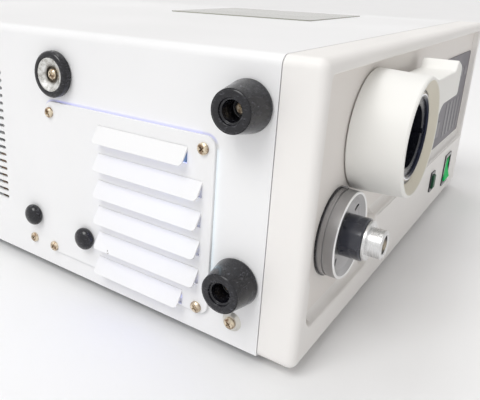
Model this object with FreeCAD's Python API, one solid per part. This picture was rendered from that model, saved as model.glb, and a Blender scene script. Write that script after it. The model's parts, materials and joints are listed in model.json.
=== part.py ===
import FreeCAD, Part
import os
from math import cos, pi, radians, sin, sqrt, tan

from FreeCAD import Placement, Rotation, Vector

# Bench light source for a fiber optic light guide, in millimetres.
# It is drawn from the outer left, front, bottom corner of its case: +X to the viewer's right,
# +Y to the rear, +Z up. At the end every piece moves to the bottom centre of the whole.

# Case
case_w = 374.0
case_h = 155.0
case_d = 455.0
edge_r = 5.0
cover_t = 1.5
seam_gap = 0.5
foot_h = 7.0
touch = 0.3
run_fit = 0.05
hole_play = 0.15

# Front bezel and the panel behind it
bezel_d = 20.4
bezel_wall = 3.0
bezel_drop = 1.0
rim_w = 7.5
rim_soft = 1.2
recess_d = 5.0
apron_h = 50.0
ledge_rise = 5.0
notch_x0 = 10.0
notch_x1 = 108.0
notch_z = 18.0
notch_r = 10.0
cove_r = 4.0
groove = 0.8
panel_t = 2.5
dash_t = 0.8
dash_w = 166.0
dash_h = 75.0
dash_gap = 4.0

# Chassis and rear panel
floor_t = 1.5
flange_h = 24.0
rear_t = 2.0
rear_inset = 2.0
slot_l = 14.0
slot_w = 2.4
slot_pitch = 5.1
slot_rows = 18
slot_z0 = 36.6
slot_cols = 4
slot_col_pitch = 20.0
slot_y0 = 227.1
floor_vent = (215.0, 250.0)
floor_vent_w = 4.0
floor_vent_l = 40.0
floor_vent_cols = 7
floor_vent_rows = 3
floor_vent_pitch = (20.0, 60.0)
rear_vent_xs = (200.0, 245.0, 290.0)
rear_vent_z0 = 76.0
rear_vent_l = 35.0
rear_vent_h = 2.5
rear_vent_rows = 9
rear_vent_pitch = 7.0
bracket_l = 8.0
bracket_r = 5.0
rear_screw_in = 12.0

# Lamp access plate and its louvres
plate_t = 1.5
plate_y0 = 51.5
plate_y1 = 175.5
plate_z0 = 11.5
plate_z1 = 112.0
plate_r = 6.0
plate_soft = 0.4
window_in = 12.0
window_lip = 4.0
louvre_n = 6
louvre_pitch = 16.5
louvre_top = 104.0
louvre_y0 = 58.0
louvre_y1 = 130.7
louvre_short = 10.0
louvre_out = 6.0
louvre_drop = 8.8
louvre_corner = 2.2
louvre_t = 1.0
crease_w = 0.6
crease_deep = 0.4
plate_screw_in = 6.9
plate_screw_low = 3.5
plate_screw_rear = 4.0

# Screws
screw_r = 2.0
screw_l = 7.0
head_r = 3.2
head_h = 1.9
recess_r = 1.7
recess_h = 1.1
cup_r = 5.6
cup_h = 1.8
low_screw_z = 14.3
front_screw_y = 36.5
side_screw_ys = (192.8, 318.0, 436.0)

# Rubber feet and bumpers on the side
side_foot_r = 13.0
side_foot_tip_r = 10.3
side_foot_l = 16.5
side_foot_bore = 5.2
side_foot_floor = 5.0
side_foot_y = 35.7
side_foot_zs = (38.5, 130.0)
ring_r = 13.8
ring_h = 5.7
ring_face_r = 11.6
ring_seat_r = 9.9
ring_well_r = 4.8
ring_well_top = 3.0
ring_washer_t = 0.8
ring_floor = 1.2
ring_y = 166.2
ring_z = 129.0
dome_r = 7.0
dome_h = 6.9
dome_low = (190.5, 32.2)
dome_plate = (141.5, 30.4)
base_foot_r = 11.0
base_foot_in = 34.0
base_foot_sink = 3.0
base_screw_h = 1.6

# Light guide socket and its lock collar
sock_x = 81.0
sock_z = 109.0
collar_r = 34.0
collar_tip_r = 32.4
collar_out = 24.4
collar_gap = 0.6
mouth_r = 30.9
throat_r = 25.4
throat_out = 20.4
collar_seat = 19.0
sleeve_r = 23.9
sleeve_out = 21.2
core_r = 20.9
bore_r = 17.0
core_out = 19.7
core_in = 14.0
core_end = 3.0
ring_w = 1.2
ring_t = 1.0
back_flange_r = 28.0
back_flange_t = 3.0
lever_gap = 0.8
lever_reach = 96.4
lever_in = 2.5
lever_soft = 1.0
lever_top = 27.0
lever_low = 9.7
lever_lip = 33.2
guide_r = 5.5
guide_bore = 4.0
guide_l = 26.0

# Auxiliary connector
aux_x = 46.5
aux_z = 59.7
aux_gasket_r = 24.6
aux_gasket_t = 1.0
aux_cup_r = 23.8
aux_cup_l = 9.0
aux_cup_wall = 1.8
aux_dish = 3.0
aux_ins_r = 11.5
aux_ins_out = 13.4
aux_ins_in = 19.0
aux_barrel_r = 7.6
aux_barrel_out = 22.6
aux_barrel_bore = 5.0
aux_flange_r = 10.6
aux_flange_t = 1.4
aux_barrel_root = 10.0
aux_neck_in = 0.5
aux_nut_r = 16.0
aux_nut_t = 4.0
contact_r = 2.6

# Power rocker and push button on the apron
rocker_x = 319.0
rocker_z = 26.0
rocker_w = 18.0
rocker_h = 24.0
rocker_tilt = 7.0
rocker_out = 1.6
rocker_deep = 9.0
pivot_in = 3.0
pivot_r = 1.5
housing_wall = 1.6
housing_lip = 1.0
housing_l = 24.0
button_x = 262.5
button_z = 29.0
button_w = 8.0
button_h = 12.0
button_out = 2.6
button_travel = 1.5
button_l = 9.0

# Light path behind the socket
lens_y = 42.0
lens_r = 18.5
lens_t = 6.0
lens_edge = 3.0
lens_flat = 0.5
upright_t = 6.0
filter_y = 70.0
filter_t = 3.0
bracket_half = 25.0
bracket_foot_t = 3.0
bracket_over = 25.0
shutter_r = 9.0
shutter_t = 1.5
shutter_arm = 21.0
disc_dx = 31.0
disc_dz = -39.0
disc_r = 62.0
disc_t = 1.5
disc_y = 58.0
motor_r = 14.0
motor_l = 8.5
shaft_r = 1.5

# Lamp, heat sinks and cooling
lamp_y = 86.0
lamp_ring_r = 16.0
lamp_ring_l = 6.0
lamp_tube_r = 14.0
lamp_tube_l = 20.0
lamp_tail_r = 10.0
lamp_tail_l = 18.0
lamp_bowl_r = 13.0
lamp_bowl_d = 15.0
lamp_glass_t = 2.0
sink_w = 76.0
sink_t = 18.0
sink_core_r = 24.0
sink_web = 6.0
fin_t = 1.8
fin_pitch = 6.1
cradle_half = 21.0
duct_t = 1.2
duct_y0 = 78.0
duct_screw_room = 1.3
duct_top = 151.0
duct_x1 = 128.0
duct_light_r = 20.0
fan_size = 92.0
fan_t = 25.0
fan_r = 43.0
fan_z = 80.0
fan_hub_r = 20.0
fan_tip_gap = 1.5
fan_blades = 7
fan_wall = 3.0
strut_w = 5.0

# Electrics
igniter = (18.0, 190.0, 92.0, 62.0, 56.0)
terminal_r = 5.0
terminal_h = 12.0
board_t = 1.6
standoff_h = 8.0
standoff_r = 3.0
power_x0 = 190.0
power_y0 = 225.0
power_w = 165.0
power_l = 200.0
standoff_in = 8.0
core_size = (60.0, 50.0, 52.0)
core_at = (18.0, 20.0)
core_limb = 12.0
core_yoke = 8.0
cap_r = 13.0
cap_h = 40.0
cap_in = 32.0
cap_pitch = 34.0
cap_count = 3
switch_sink = (80.0, 30.0, 45.0)
switch_sink_at = (18.0, 95.0)
switch_sink_back = 5.0
switch_sink_fins = 9
main_w = 160.0
main_h = 104.0
main_z0 = 32.0
# Each block on the main board: its place along and up the board, its width, height and depth
board_blocks = ((20.0, 40.0, 30.0, 30.0, 3.0), (65.0, 42.0, 24.0, 24.0, 3.0), (100.0, 20.0, 42.0, 12.0, 9.0),
                (20.0, 74.0, 60.0, 10.0, 9.0), (110.0, 52.0, 18.0, 22.0, 5.0))

# Rear panel fittings
inlet_dx = 55.0
inlet_z = 42.0
inlet_w = 28.0
inlet_h = 21.0
inlet_l = 24.0
inlet_mouth_w = 24.4
inlet_mouth_h = 16.6
inlet_mouth_d = 18.0
inlet_flange_w = 50.0
inlet_flange_t = 3.0
pin_l = 11.0
fuse_dx = 105.0
fuse_pitch = 26.0
fuse_r = 8.0
fuse_l = 30.0
fuse_flange_r = 10.0
fuse_flange_t = 3.0
cap_knob_r = 6.5
cap_knob_l = 9.0
cap_spigot_r = 5.0
cap_spigot_l = 12.0
stud_r = 3.0
stud_core_r = 2.6
stud_l = 16.0
stud_x = 60.0
stud_z = 35.0
nut_af = 10.0
nut_t = 5.0
signal_x = 130.0
signal_z = 110.0
signal_core_w = 30.0
signal_core_h = 12.0
signal_shell_w = 26.0
signal_shell_h = 10.0
signal_wall = 1.0
signal_lug = 7.0
signal_l = 7.0
signal_in = 10.0

# Blank plate on the top
top_x0 = 218.0
top_y0 = 104.0
top_w = 122.0
top_d = 143.0
top_t = 0.8
top_r = 3.0

# Places worked out from the sizes above
panel_y = recess_d
panel_back = panel_y + panel_t
cover_y0 = bezel_d + seam_gap
rear_y1 = case_d - rear_inset
rear_y0 = rear_y1 - rear_t
rim_top = case_h - rim_w
rim_right = case_w - rim_w
axis_x = sock_x
disc_x = sock_x + disc_dx
disc_z = sock_z + disc_dz
duct_y1 = plate_y1 - plate_screw_rear + screw_r + duct_screw_room + duct_t
fan_y = (duct_y0 + duct_y1) / 2
side_foot_ys = (side_foot_y, case_d - side_foot_y)
board_y = panel_back + standoff_h


def box(x0, x1, y0, y1, z0, z1):
    """A block between two corners."""
    return Part.makeBox(x1 - x0, y1 - y0, z1 - z0, Vector(x0, y0, z0))


def tube_y(x, z, r, y0, y1, bore=0.0):
    """A round bar or tube along Y."""
    solid = Part.makeCylinder(r, y1 - y0, Vector(x, y0, z), Vector(0, 1, 0))
    if bore:
        solid = solid.cut(Part.makeCylinder(bore, y1 - y0 + 2, Vector(x, y0 - 1, z), Vector(0, 1, 0)))
    return solid


def rod(start, direction, r, length):
    """A round bar from a point along a direction."""
    return Part.makeCylinder(r, length, Vector(*start), Vector(*direction))


def turned(points, x, z):
    """A solid of revolution about the Y axis through x, z, from (radius, y) points."""
    line = [Vector(x + r, y, z) for r, y in points]
    face = Part.Face(Part.makePolygon(line + line[:1]))
    return face.revolve(Vector(x, 0, z), Vector(0, 1, 0), 360)


def edges_where(shape, test):
    """The straight edges whose middle and direction pass a test."""
    found = []
    for edge in shape.Edges:
        if len(edge.Vertexes) != 2:
            continue
        a, b = edge.Vertexes[0].Point, edge.Vertexes[1].Point
        mid, way = (a + b) * 0.5, (b - a)
        if way.Length > 1e-6 and test(mid, way.normalize()):
            found.append(edge)
    return found


def along(axis, test=lambda p: True):
    """A test for edges that run along one axis."""
    def check(mid, way):
        return abs((way.x, way.y, way.z)[axis]) > 0.999 and test(mid)
    return check


def rounded(shape, r, test):
    """The shape with the chosen edges filleted."""
    return shape.makeFillet(r, edges_where(shape, test))


def cut_all(shape, tools):
    """The shape with every tool taken away at once."""
    return shape.cut(Part.makeCompound(tools))


def join(pieces):
    """One solid made from touching or overlapping pieces."""
    whole = pieces[0]
    for piece in pieces[1:]:
        whole = whole.fuse(piece)
    return whole.removeSplitter()


def arc_polygon(points, y):
    """A closed wire in the XZ plane whose corners (x, z, radius) are rounded by tangent arcs."""
    count = len(points)
    starts, ends, mids = [], [], []
    for i in range(count):
        before = Vector(points[i - 1][0], y, points[i - 1][1])
        here = Vector(points[i][0], y, points[i][1])
        after = Vector(points[(i + 1) % count][0], y, points[(i + 1) % count][1])
        r = points[i][2]
        to_a, to_b = (before - here).normalize(), (after - here).normalize()
        half = to_a.getAngle(to_b) / 2
        if r == 0:
            starts.append(here)
            ends.append(here)
            mids.append(None)
            continue
        back = r / tan(half)
        centre = here + (to_a + to_b).normalize() * (r / sin(half))
        starts.append(here + to_a * back)
        ends.append(here + to_b * back)
        mids.append(centre + (here - centre).normalize() * r)
    edges = []
    for i in range(count):
        if mids[i] is not None:
            edges.append(Part.Arc(starts[i], mids[i], ends[i]).toShape())
        following = starts[(i + 1) % count]
        if (following - ends[i]).Length > 1e-6:
            edges.append(Part.LineSegment(ends[i], following).toShape())
    return Part.Wire(edges)


def rounded_plate(x0, x1, z0, z1, y0, y1, r):
    """A plate in the XZ plane with round corners, between two Y planes."""
    corners = [(x0, z0, r), (x1, z0, r), (x1, z1, r), (x0, z1, r)]
    return Part.Face(arc_polygon(corners, y0)).extrude(Vector(0, y1 - y0, 0))


turns = {
    "up": Rotation(),
    "left": Rotation(Vector(0, 1, 0), -90),
    "right": Rotation(Vector(0, 1, 0), 90),
    "front": Rotation(Vector(1, 0, 0), 90),
    "rear": Rotation(Vector(1, 0, 0), -90),
    "down": Rotation(Vector(1, 0, 0), 180),
}


def set_on(shape, way, x, y, z):
    """A piece drawn on the plane Z = 0, turned to face a way and set on a surface point."""
    placed = shape.copy()
    placed.Placement = Placement(Vector(x, y, z), turns[way])
    return placed


def lathe_z(points):
    """A solid of revolution about the local Z axis, from (radius, height) points."""
    line = [Vector(r, 0, h) for r, h in points]
    return Part.Face(Part.makePolygon(line + line[:1])).revolve(Vector(0, 0, 0), Vector(0, 0, 1), 360)


def pan_screw(head=head_r, high=head_h, long=screw_l, shank=screw_r, base=0.0):
    """A cross-recess pan-head screw whose head stands on a base height."""
    shoulder = 0.55 * high
    body = lathe_z([(0, -long), (shank, -long), (shank, base), (head, base), (head, base + shoulder),
                    (0.72 * head, base + high), (0, base + high)])
    arms = []
    for angle in (0, 90):
        arm = Part.makeBox(2 * recess_r, 0.8, recess_h + 1, Vector(-recess_r, -0.4, base + high - recess_h))
        arm.rotate(Vector(0, 0, 0), Vector(0, 0, 1), angle + 45)
        arms.append(arm)
    return cut_all(body, arms)


def screw_hole(way, x, y, z, r=screw_r + hole_play, deep=12.0):
    """The clearance hole of a screw, cut from a little above the surface."""
    return set_on(Part.makeCylinder(r, deep + 2, Vector(0, 0, -deep)), way, x, y, z)


def side_screws():
    """Where the case screws sit, as (way, x, y, z, in a cup washer)."""
    spots = []
    for way, x in (("left", 0.0), ("right", case_w)):
        spots.append((way, x, front_screw_y, low_screw_z, True))
        for y in side_screw_ys:
            spots.append((way, x, y, low_screw_z, False))
    return spots


def vent_slots(x0, x1):
    """Short level vent slots in columns, cut through one side."""
    tools = []
    for col in range(slot_cols):
        for row in range(slot_rows):
            slot = box(x0, x1, -slot_l / 2, slot_l / 2, -slot_w / 2, slot_w / 2)
            slot = slot.fuse(rod((x0, -slot_l / 2, 0), (1, 0, 0), slot_w / 2, x1 - x0))
            slot = slot.fuse(rod((x0, slot_l / 2, 0), (1, 0, 0), slot_w / 2, x1 - x0))
            slot.translate(Vector(0, slot_y0 + col * slot_col_pitch, slot_z0 + row * slot_pitch))
            tools.append(slot)
    return tools


def side_holes():
    """Screw holes in the cover's left side for the feet, the plate, the ring foot and the domes."""
    tools = []
    for y in side_foot_ys:
        for z in side_foot_zs:
            tools.append(screw_hole("left", 0, y, z))
    for y, z in plate_screw_spots():
        tools.append(screw_hole("left", 0, y, z))
    tools.append(screw_hole("left", 0, ring_y, ring_z))
    return tools


def plate_screw_spots():
    """The four screws of the lamp access plate."""
    low, high = plate_z0 + plate_screw_low, plate_z1 - plate_screw_in
    front, rear = plate_y0 + plate_screw_in, plate_y1 - plate_screw_rear
    return [(front, low), (front, high), (rear, low), (rear, high)]


def window_tool(x0, x1):
    """The opening behind the louvres."""
    return box(x0, x1, plate_y0 + window_in, plate_y1 - window_in, plate_z0 + window_lip,
               plate_z1 - window_lip)


def top_cover():
    """Folded sheet: top and two sides, with rounded long edges."""
    def top_edge(z):
        return along(1, lambda p: abs(p.z - z) < 0.01)
    outer = rounded(box(0, case_w, cover_y0, case_d, 0, case_h), edge_r, top_edge(case_h))
    roof = case_h - cover_t
    inner = rounded(box(cover_t, case_w - cover_t, cover_y0 - 1, case_d + 1, -1, roof),
                    edge_r - cover_t, top_edge(roof))
    tools = [inner, window_tool(-1, cover_t + 1)]
    tools += vent_slots(-1, cover_t + 1) + vent_slots(case_w - cover_t - 1, case_w + 1)
    tools += side_holes()
    tools += [screw_hole(way, x, y, z) for way, x, y, z, cup in side_screws()]
    return cut_all(outer, tools)


def bezel_opening():
    """The recess of the bezel with its scooped notch, as the solid that is cut away."""
    top, right = rim_top, rim_right
    corner = 3.0
    outline = [(rim_w, apron_h, 0), (notch_x0, apron_h - ledge_rise, 0), (notch_x0, notch_z, notch_r),
               (notch_x1, notch_z, notch_r), (notch_x1, apron_h, 2), (right, apron_h, 0),
               (right, top, corner), (rim_w, top, corner)]
    return Part.Face(arc_polygon(outline, -1)).extrude(Vector(0, recess_d + 1.5, 0))


def bezel_cove():
    """The soft foot of the notch and of the ledge, where the apron runs into the recessed panel."""
    strips = []
    for x0, x1, z in ((notch_x0 + notch_r, notch_x1 - notch_r, notch_z), (notch_x1, rim_right, apron_h)):
        y1 = recess_d
        corner = Vector(x0, y1, z)
        a, b = Vector(x0, y1 - cove_r, z), Vector(x0, y1, z + cove_r)
        mid = Vector(x0, y1 - cove_r + cove_r * sin(pi / 4), z + cove_r - cove_r * cos(pi / 4))
        wire = Part.Wire([Part.LineSegment(corner, a).toShape(), Part.Arc(a, mid, b).toShape(),
                          Part.LineSegment(b, corner).toShape()])
        strips.append(Part.Face(wire).extrude(Vector(x1 - x0, 0, 0)))
    return strips


def housing_hole(x, z, w, h, y0, y1):
    """The hole in the apron and the panel for a switch housing."""
    out = housing_wall + hole_play
    return box(x - w / 2 - out, x + w / 2 + out, y0, y1, z - h / 2 - out, z + h / 2 + out)


def switch_spots():
    """The rocker and the push button, as (x, z, width, height)."""
    return [(rocker_x, rocker_z, rocker_w, rocker_h), (button_x, button_z, button_w, button_h)]


def front_bezel():
    """Moulded frame: rim all round, apron along the bottom, hollow behind."""
    outer = box(0, case_w, 0, bezel_d, -bezel_drop, case_h)
    outer = rounded(outer, edge_r, lambda p, w: abs(w.y) > 0.999 or abs(p.y) < 0.01)
    wall, low = bezel_wall, bezel_wall - bezel_drop
    hollow = box(wall, case_w - wall, recess_d, bezel_d + 1, low, case_h - wall)
    hollow = rounded(hollow, edge_r - wall, along(1))
    tools = []
    line = box(notch_x1 + 3, rim_right, -1, groove, apron_h - 2 * groove, apron_h - groove)
    tools.append(line)
    for x, z, w, h in switch_spots():
        tools.append(housing_hole(x, z, w, h, -2, recess_d + 2))
    frame = outer.cut(hollow).cut(bezel_opening())
    inner = (rim_w - 0.01, rim_right + 0.01)
    frame = rounded(frame, rim_soft, lambda p, w: abs(p.y) < 0.01 and inner[0] < p.x < inner[1]
                    and notch_z - 0.01 < p.z < rim_top + 0.01)
    return join([cut_all(frame, tools)] + bezel_cove())


def front_panel():
    """The plate behind the bezel that carries the socket, the connector and the overlay."""
    wall, low = bezel_wall + touch, bezel_wall - bezel_drop + touch
    plate = rounded_plate(wall, case_w - wall, low, case_h - wall, panel_y, panel_back, edge_r - bezel_wall)
    tools = [rod((sock_x, panel_y - 1, sock_z), (0, 1, 0), sleeve_r + hole_play, panel_t + 2),
             rod((aux_x, panel_y - 1, aux_z), (0, 1, 0), aux_ins_r + hole_play, panel_t + 2)]
    for x, z, w, h in switch_spots():
        tools.append(housing_hole(x, z, w, h, panel_y - 1, panel_back + 1))
    return cut_all(plate, tools)


def base_chassis():
    """Folded tray: floor, side flanges inside the cover and a front flange against the bezel."""
    x0, x1 = cover_t, case_w - cover_t
    t = floor_t
    front = bezel_d
    parts = [box(x0, x1, front, rear_y0, 0, t), box(x0, x1, front, front + t, 0, flange_h),
             box(x0, x0 + t, front, rear_y0, 0, flange_h), box(x1 - t, x1, front, rear_y0, 0, flange_h)]
    tools = [window_tool(x0 - 1, x0 + t + 1)] + side_holes()
    tools += [screw_hole(way, x, y, z) for way, x, y, z, cup in side_screws()]
    for x, y in base_foot_spots():
        tools.append(screw_hole("down", x, y, 0, deep=t + 2))
    for col in range(floor_vent_cols):
        for row in range(floor_vent_rows):
            x = floor_vent[0] + col * floor_vent_pitch[0]
            y = floor_vent[1] + row * floor_vent_pitch[1]
            tools.append(box(x, x + floor_vent_w, y, y + floor_vent_l, -1, t + 1))
    for x, z, w, h in switch_spots():
        tools.append(housing_hole(x, z, w, h, front - 1, front + t + 1))
    return cut_all(join(parts), tools)


def rear_panel():
    """Flat plate inside the cover's rear edge with its cut-outs and vents."""
    x0, x1 = cover_t, case_w - cover_t
    plate = box(x0, x1, rear_y0, rear_y1, 0, case_h - cover_t)
    top = along(1, lambda p: abs(p.z - (case_h - cover_t)) < 0.01)
    plate = rounded(plate, edge_r - cover_t, top)
    y0, y1 = rear_y0 - 1, rear_y1 + 1
    play = hole_play
    inlet_x = case_w - inlet_dx
    tools = [box(inlet_x - inlet_w / 2 - play, inlet_x + inlet_w / 2 + play, y0, y1,
                 inlet_z - inlet_h / 2 - play, inlet_z + inlet_h / 2 + play)]
    tools.append(box(signal_x - signal_core_w / 2 - play, signal_x + signal_core_w / 2 + play, y0, y1,
                     signal_z - signal_core_h / 2 - play, signal_z + signal_core_h / 2 + play))
    for i in range(2):
        tools.append(rod((case_w - fuse_dx, y0, fuse_z(i)), (0, 1, 0), fuse_r + play, y1 - y0))
    tools.append(rod((stud_x, y0, stud_z), (0, 1, 0), stud_r + play, y1 - y0))
    for row in range(rear_vent_rows):
        z = rear_vent_z0 + row * rear_vent_pitch
        for x in rear_vent_xs:
            tools.append(box(x, x + rear_vent_l, y0, y1, z, z + rear_vent_h))
    for x, z in rear_screw_spots():
        tools.append(screw_hole("rear", x, rear_y1, z))
    return cut_all(plate, tools)


def rear_screw_spots():
    """Screws that hold the rear panel to its brackets."""
    near, far = rear_screw_in, case_w - rear_screw_in
    low, high = rear_screw_in, case_h - rear_screw_in
    return [(near, low), (far, low), (near, high), (far, high)]


def rear_brackets():
    """Small blocks in the four rear corners that take the rear panel's screws."""
    solids = []
    for x, z in rear_screw_spots():
        wall = cover_t + (floor_t if z < flange_h else 0.0)
        near = wall if x < case_w / 2 else x - bracket_r
        far = x + bracket_r if x < case_w / 2 else case_w - wall
        block = box(near, far, rear_y0 - bracket_l, rear_y0, z - bracket_r, z + bracket_r)
        solids.append(block.cut(screw_hole("rear", x, rear_y1, z)))
    return solids


def louvre_slat(y0, y1, z):
    """A tab bent outward and down from the plate at height z, open at both ends, with round corners."""
    out, drop, t = louvre_out, louvre_drop, louvre_t
    long = sqrt(out ** 2 + drop ** 2)
    face, root = -plate_t, -plate_t / 2
    tip = Vector(face - out + t * drop / long, y0, z - drop - t * out / long)
    inner = tip.z + (root - tip.x) * drop / out
    line = [Vector(face, y0, z), Vector(face - out, y0, z - drop), tip, Vector(root, y0, inner),
            Vector(root, y0, z)]
    slat = Part.Face(Part.makePolygon(line + line[:1])).extrude(Vector(0, y1 - y0, 0))
    return rounded(slat, louvre_corner, lambda p, w: p.x < face - out + t and abs(w.y) < 0.001)


def lamp_access_plate():
    """Plate over the lamp, with six slots under bent louvres that open downwards."""
    plate = rounded_plate(plate_y0, plate_y1, plate_z0, plate_z1, 0, plate_t, plate_r)
    plate.rotate(Vector(0, 0, 0), Vector(0, 0, 1), 90)
    plate = rounded(plate, plate_soft, lambda p, w: abs(p.x + plate_t) < 0.01)
    slats, slots = [], []
    for i in range(louvre_n):
        short = louvre_short if i in (0, louvre_n - 1) else 0.0
        z = louvre_top - i * louvre_pitch
        y0, y1 = louvre_y0 + short, louvre_y1
        slats.append(louvre_slat(y0, y1, z))
        slots.append(box(-plate_t - 0.01, 1, y0, y1, z - louvre_drop, z - 2 * louvre_t))
        slots.append(box(-plate_t - 1, -plate_t + crease_deep, y0, y1, z, z + crease_w))
    tools = slots + [screw_hole("left", 0, y, z) for y, z in plate_screw_spots()]
    return join([cut_all(plate, tools)] + slats)


def side_foot(y, z):
    """Tapered rubber foot with a deep screw hole, standing out of the left side."""
    base, tip, long = side_foot_r, side_foot_tip_r, side_foot_l
    soft = 1.2
    body = lathe_z([(screw_r + hole_play, 0), (base - 0.5, 0), (base, 1.0), (tip + 0.1, long - soft),
                    (tip - soft, long), (side_foot_bore + 0.8, long), (side_foot_bore, long - 0.8),
                    (side_foot_bore, side_foot_floor), (screw_r + hole_play, side_foot_floor)])
    return set_on(body, "left", 0, y, z)


def ring_foot():
    """Low rubber ring with round shoulders and a seat for the dished washer."""
    hole = screw_r + hole_play
    soft = 0.6
    fall = (ring_r - ring_face_r) / 2
    body = lathe_z([(hole, 0), (ring_r - soft, 0), (ring_r, soft), (ring_r, ring_h - 3 * fall),
                    (ring_r - 0.3 * fall, ring_h - 1.8 * fall), (ring_r - fall, ring_h - 0.7 * fall),
                    (ring_face_r, ring_h), (ring_seat_r + soft, ring_h), (ring_seat_r, ring_h - soft),
                    (ring_seat_r, ring_floor), (hole, ring_floor)])
    return set_on(body, "left", 0, ring_y, ring_z)


def ring_foot_washer():
    """Dished washer in the ring foot, with a well for the screw head."""
    r, t, well, top = ring_seat_r, ring_washer_t, ring_well_r, ring_well_top
    low, high = ring_floor, ring_h - t / 2
    hole = screw_r + hole_play
    body = lathe_z([(hole, low), (well + t, low), (well + t, top - t / 2), (r, high - t), (r, high),
                    (r - t, high), (well, top), (well, low + t), (hole, low + t)])
    return set_on(body, "left", 0, ring_y, ring_z)


def dome(y, z, x):
    """Small rubber bumper."""
    ball_r = (dome_r ** 2 + dome_h ** 2) / (2 * dome_h)
    ball = Part.makeSphere(ball_r, Vector(0, 0, dome_h - ball_r))
    body = ball.common(Part.makeCylinder(dome_r, dome_h + 1, Vector(0, 0, 0)))
    return set_on(body, "left", x, y, z)


def base_foot_spots():
    """The four feet under the case."""
    return [(x, y) for x in (base_foot_in, case_w - base_foot_in)
            for y in (bezel_d + base_foot_in, case_d - base_foot_in)]


def base_foot(x, y):
    """Round rubber foot with a sunk screw."""
    r, h = base_foot_r, foot_h
    hole = screw_r + hole_play
    body = lathe_z([(hole, 0), (r, 0), (r - 1, h - 1), (r - 2, h), (head_r + 1.2, h),
                    (head_r + 1.2, h - base_foot_sink), (hole, h - base_foot_sink)])
    return set_on(body, "down", x, y, 0)


def lock_collar():
    """Collar that turns on the socket sleeve, with its thumb lever in one piece."""
    back = panel_y - collar_gap
    soft = 1.2
    seat, throat = -collar_seat, -throat_out
    tip = -collar_out
    body = turned([(sleeve_r + run_fit, back), (collar_r - 0.6, back), (collar_r, back - 0.6),
                   (collar_tip_r + 0.1, tip + soft), (collar_tip_r - 0.4, tip + 0.4),
                   (collar_tip_r - soft, tip), (mouth_r, tip), (mouth_r - 0.5, tip + 0.5),
                   (throat_r, throat), (throat_r, seat), (sleeve_r + run_fit, seat)], sock_x, sock_z)
    pocket = tube_y(sock_x, sock_z, collar_r - 3.2, back - 14, back + 1, sleeve_r + 3.2)
    wide = collar_reach_profile()
    front = tip + lever_in
    lever = Part.Face(arc_polygon(wide, front)).extrude(Vector(0, -lever_gap - front, 0))
    lever = rounded(lever, lever_soft, lambda p, w: abs(p.y - front) < 0.01 and p.x > sock_x + collar_r + 6)
    lever = lever.cut(tube_y(sock_x, sock_z, collar_tip_r - 0.5, tip - 1, back + 1))
    return join([body.cut(pocket), lever])


def collar_reach_profile():
    """Outline of the lever seen from the front: flat on top, with an upturned end."""
    x, z = sock_x, sock_z
    reach = lever_reach
    return [(x + 6, z + 20, 0), (x + 10, z + collar_tip_r - 0.8, 0), (x + 30, z + lever_top, 8),
            (x + reach - 22, z + lever_top, 5), (x + reach - 17.5, z + lever_lip, 2.2),
            (x + reach - 4.5, z + lever_lip - 4.5, 5), (x + reach - 4.8, z + lever_low, 3),
            (x + 50, z + lever_low, 14), (x + collar_tip_r - 0.8, z - 8, 0), (x + 22, z - 4, 0)]


def socket_sleeve():
    """Bright sleeve on which the collar turns, with its flange behind the panel."""
    back = panel_back + back_flange_t
    return turned([(core_r, -sleeve_out + 0.8), (core_r + 0.8, -sleeve_out), (sleeve_r - 0.8, -sleeve_out),
                   (sleeve_r, -sleeve_out + 0.8), (sleeve_r, panel_back), (back_flange_r, panel_back),
                   (back_flange_r, back), (core_r, back)], sock_x, sock_z)


def retaining_ring():
    """Thin dark ring that keeps the collar on the sleeve."""
    y1 = -collar_seat - touch
    return tube_y(sock_x, sock_z, sleeve_r + ring_w, y1 - ring_t, y1, sleeve_r)


def socket_core():
    """Black socket body inside the sleeve, with the light guide's bore and a key slot."""
    end = core_in
    body = turned([(bore_r + 0.6, -core_out), (core_r, -core_out), (core_r, end), (guide_r, end),
                   (guide_r, end - core_end), (bore_r, end - core_end), (bore_r, -core_out + 0.6)],
                  sock_x, sock_z)
    key = box(sock_x + bore_r - 0.5, sock_x + bore_r + 1.1, -core_out - 1, end - core_end - 6,
              sock_z - 1.5, sock_z + 1.5)
    return body.cut(key)


def light_guide_tube():
    """Tube that takes the tip of the light guide and points at the lens."""
    y0 = core_in - core_end + touch
    return turned([(guide_bore + 0.5, y0), (guide_r - 0.4, y0), (guide_r, y0 + 0.4), (guide_r, y0 + guide_l),
                   (guide_bore, y0 + guide_l), (guide_bore, y0 + 0.5)], sock_x, sock_z)


def aux_base():
    """The plane in which the auxiliary connector's cup stands."""
    return panel_y - aux_gasket_t


def aux_gasket():
    """Thin black gasket under the cup."""
    return tube_y(aux_x, aux_z, aux_gasket_r, aux_base(), panel_y, aux_ins_r)


def aux_cup():
    """Shallow dished metal cup with a stepped side and slots in its floor."""
    base = aux_base()
    rim = base - aux_cup_l
    floor = rim + aux_dish
    inner = aux_cup_r - aux_cup_wall
    step = 0.7
    r, line = aux_cup_r, base - 2.6
    wide = (inner - aux_ins_r) / 4
    body = turned([(aux_ins_r, floor), (inner - 2 * wide, floor - 0.1 * aux_dish),
                   (inner - wide, floor - 0.35 * aux_dish), (inner, rim + 0.6), (inner + 0.5, rim),
                   (r - 0.5, rim), (r, rim + 0.5), (r, line - step),
                   (r - step, line - step), (r - step, line), (r, line), (r, base),
                   (aux_ins_r, base)], aux_x, aux_z)
    slots = []
    for angle in (45, 135, 225, 315):
        slot = box(aux_ins_r + 3, aux_ins_r + 7, floor - 1, floor + 2.5, -1, 1)
        slot.rotate(Vector(0, 0, 0), Vector(0, 1, 0), angle)
        slot.translate(Vector(aux_x, 0, aux_z))
        slots.append(slot)
    return cut_all(body, slots)


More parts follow.
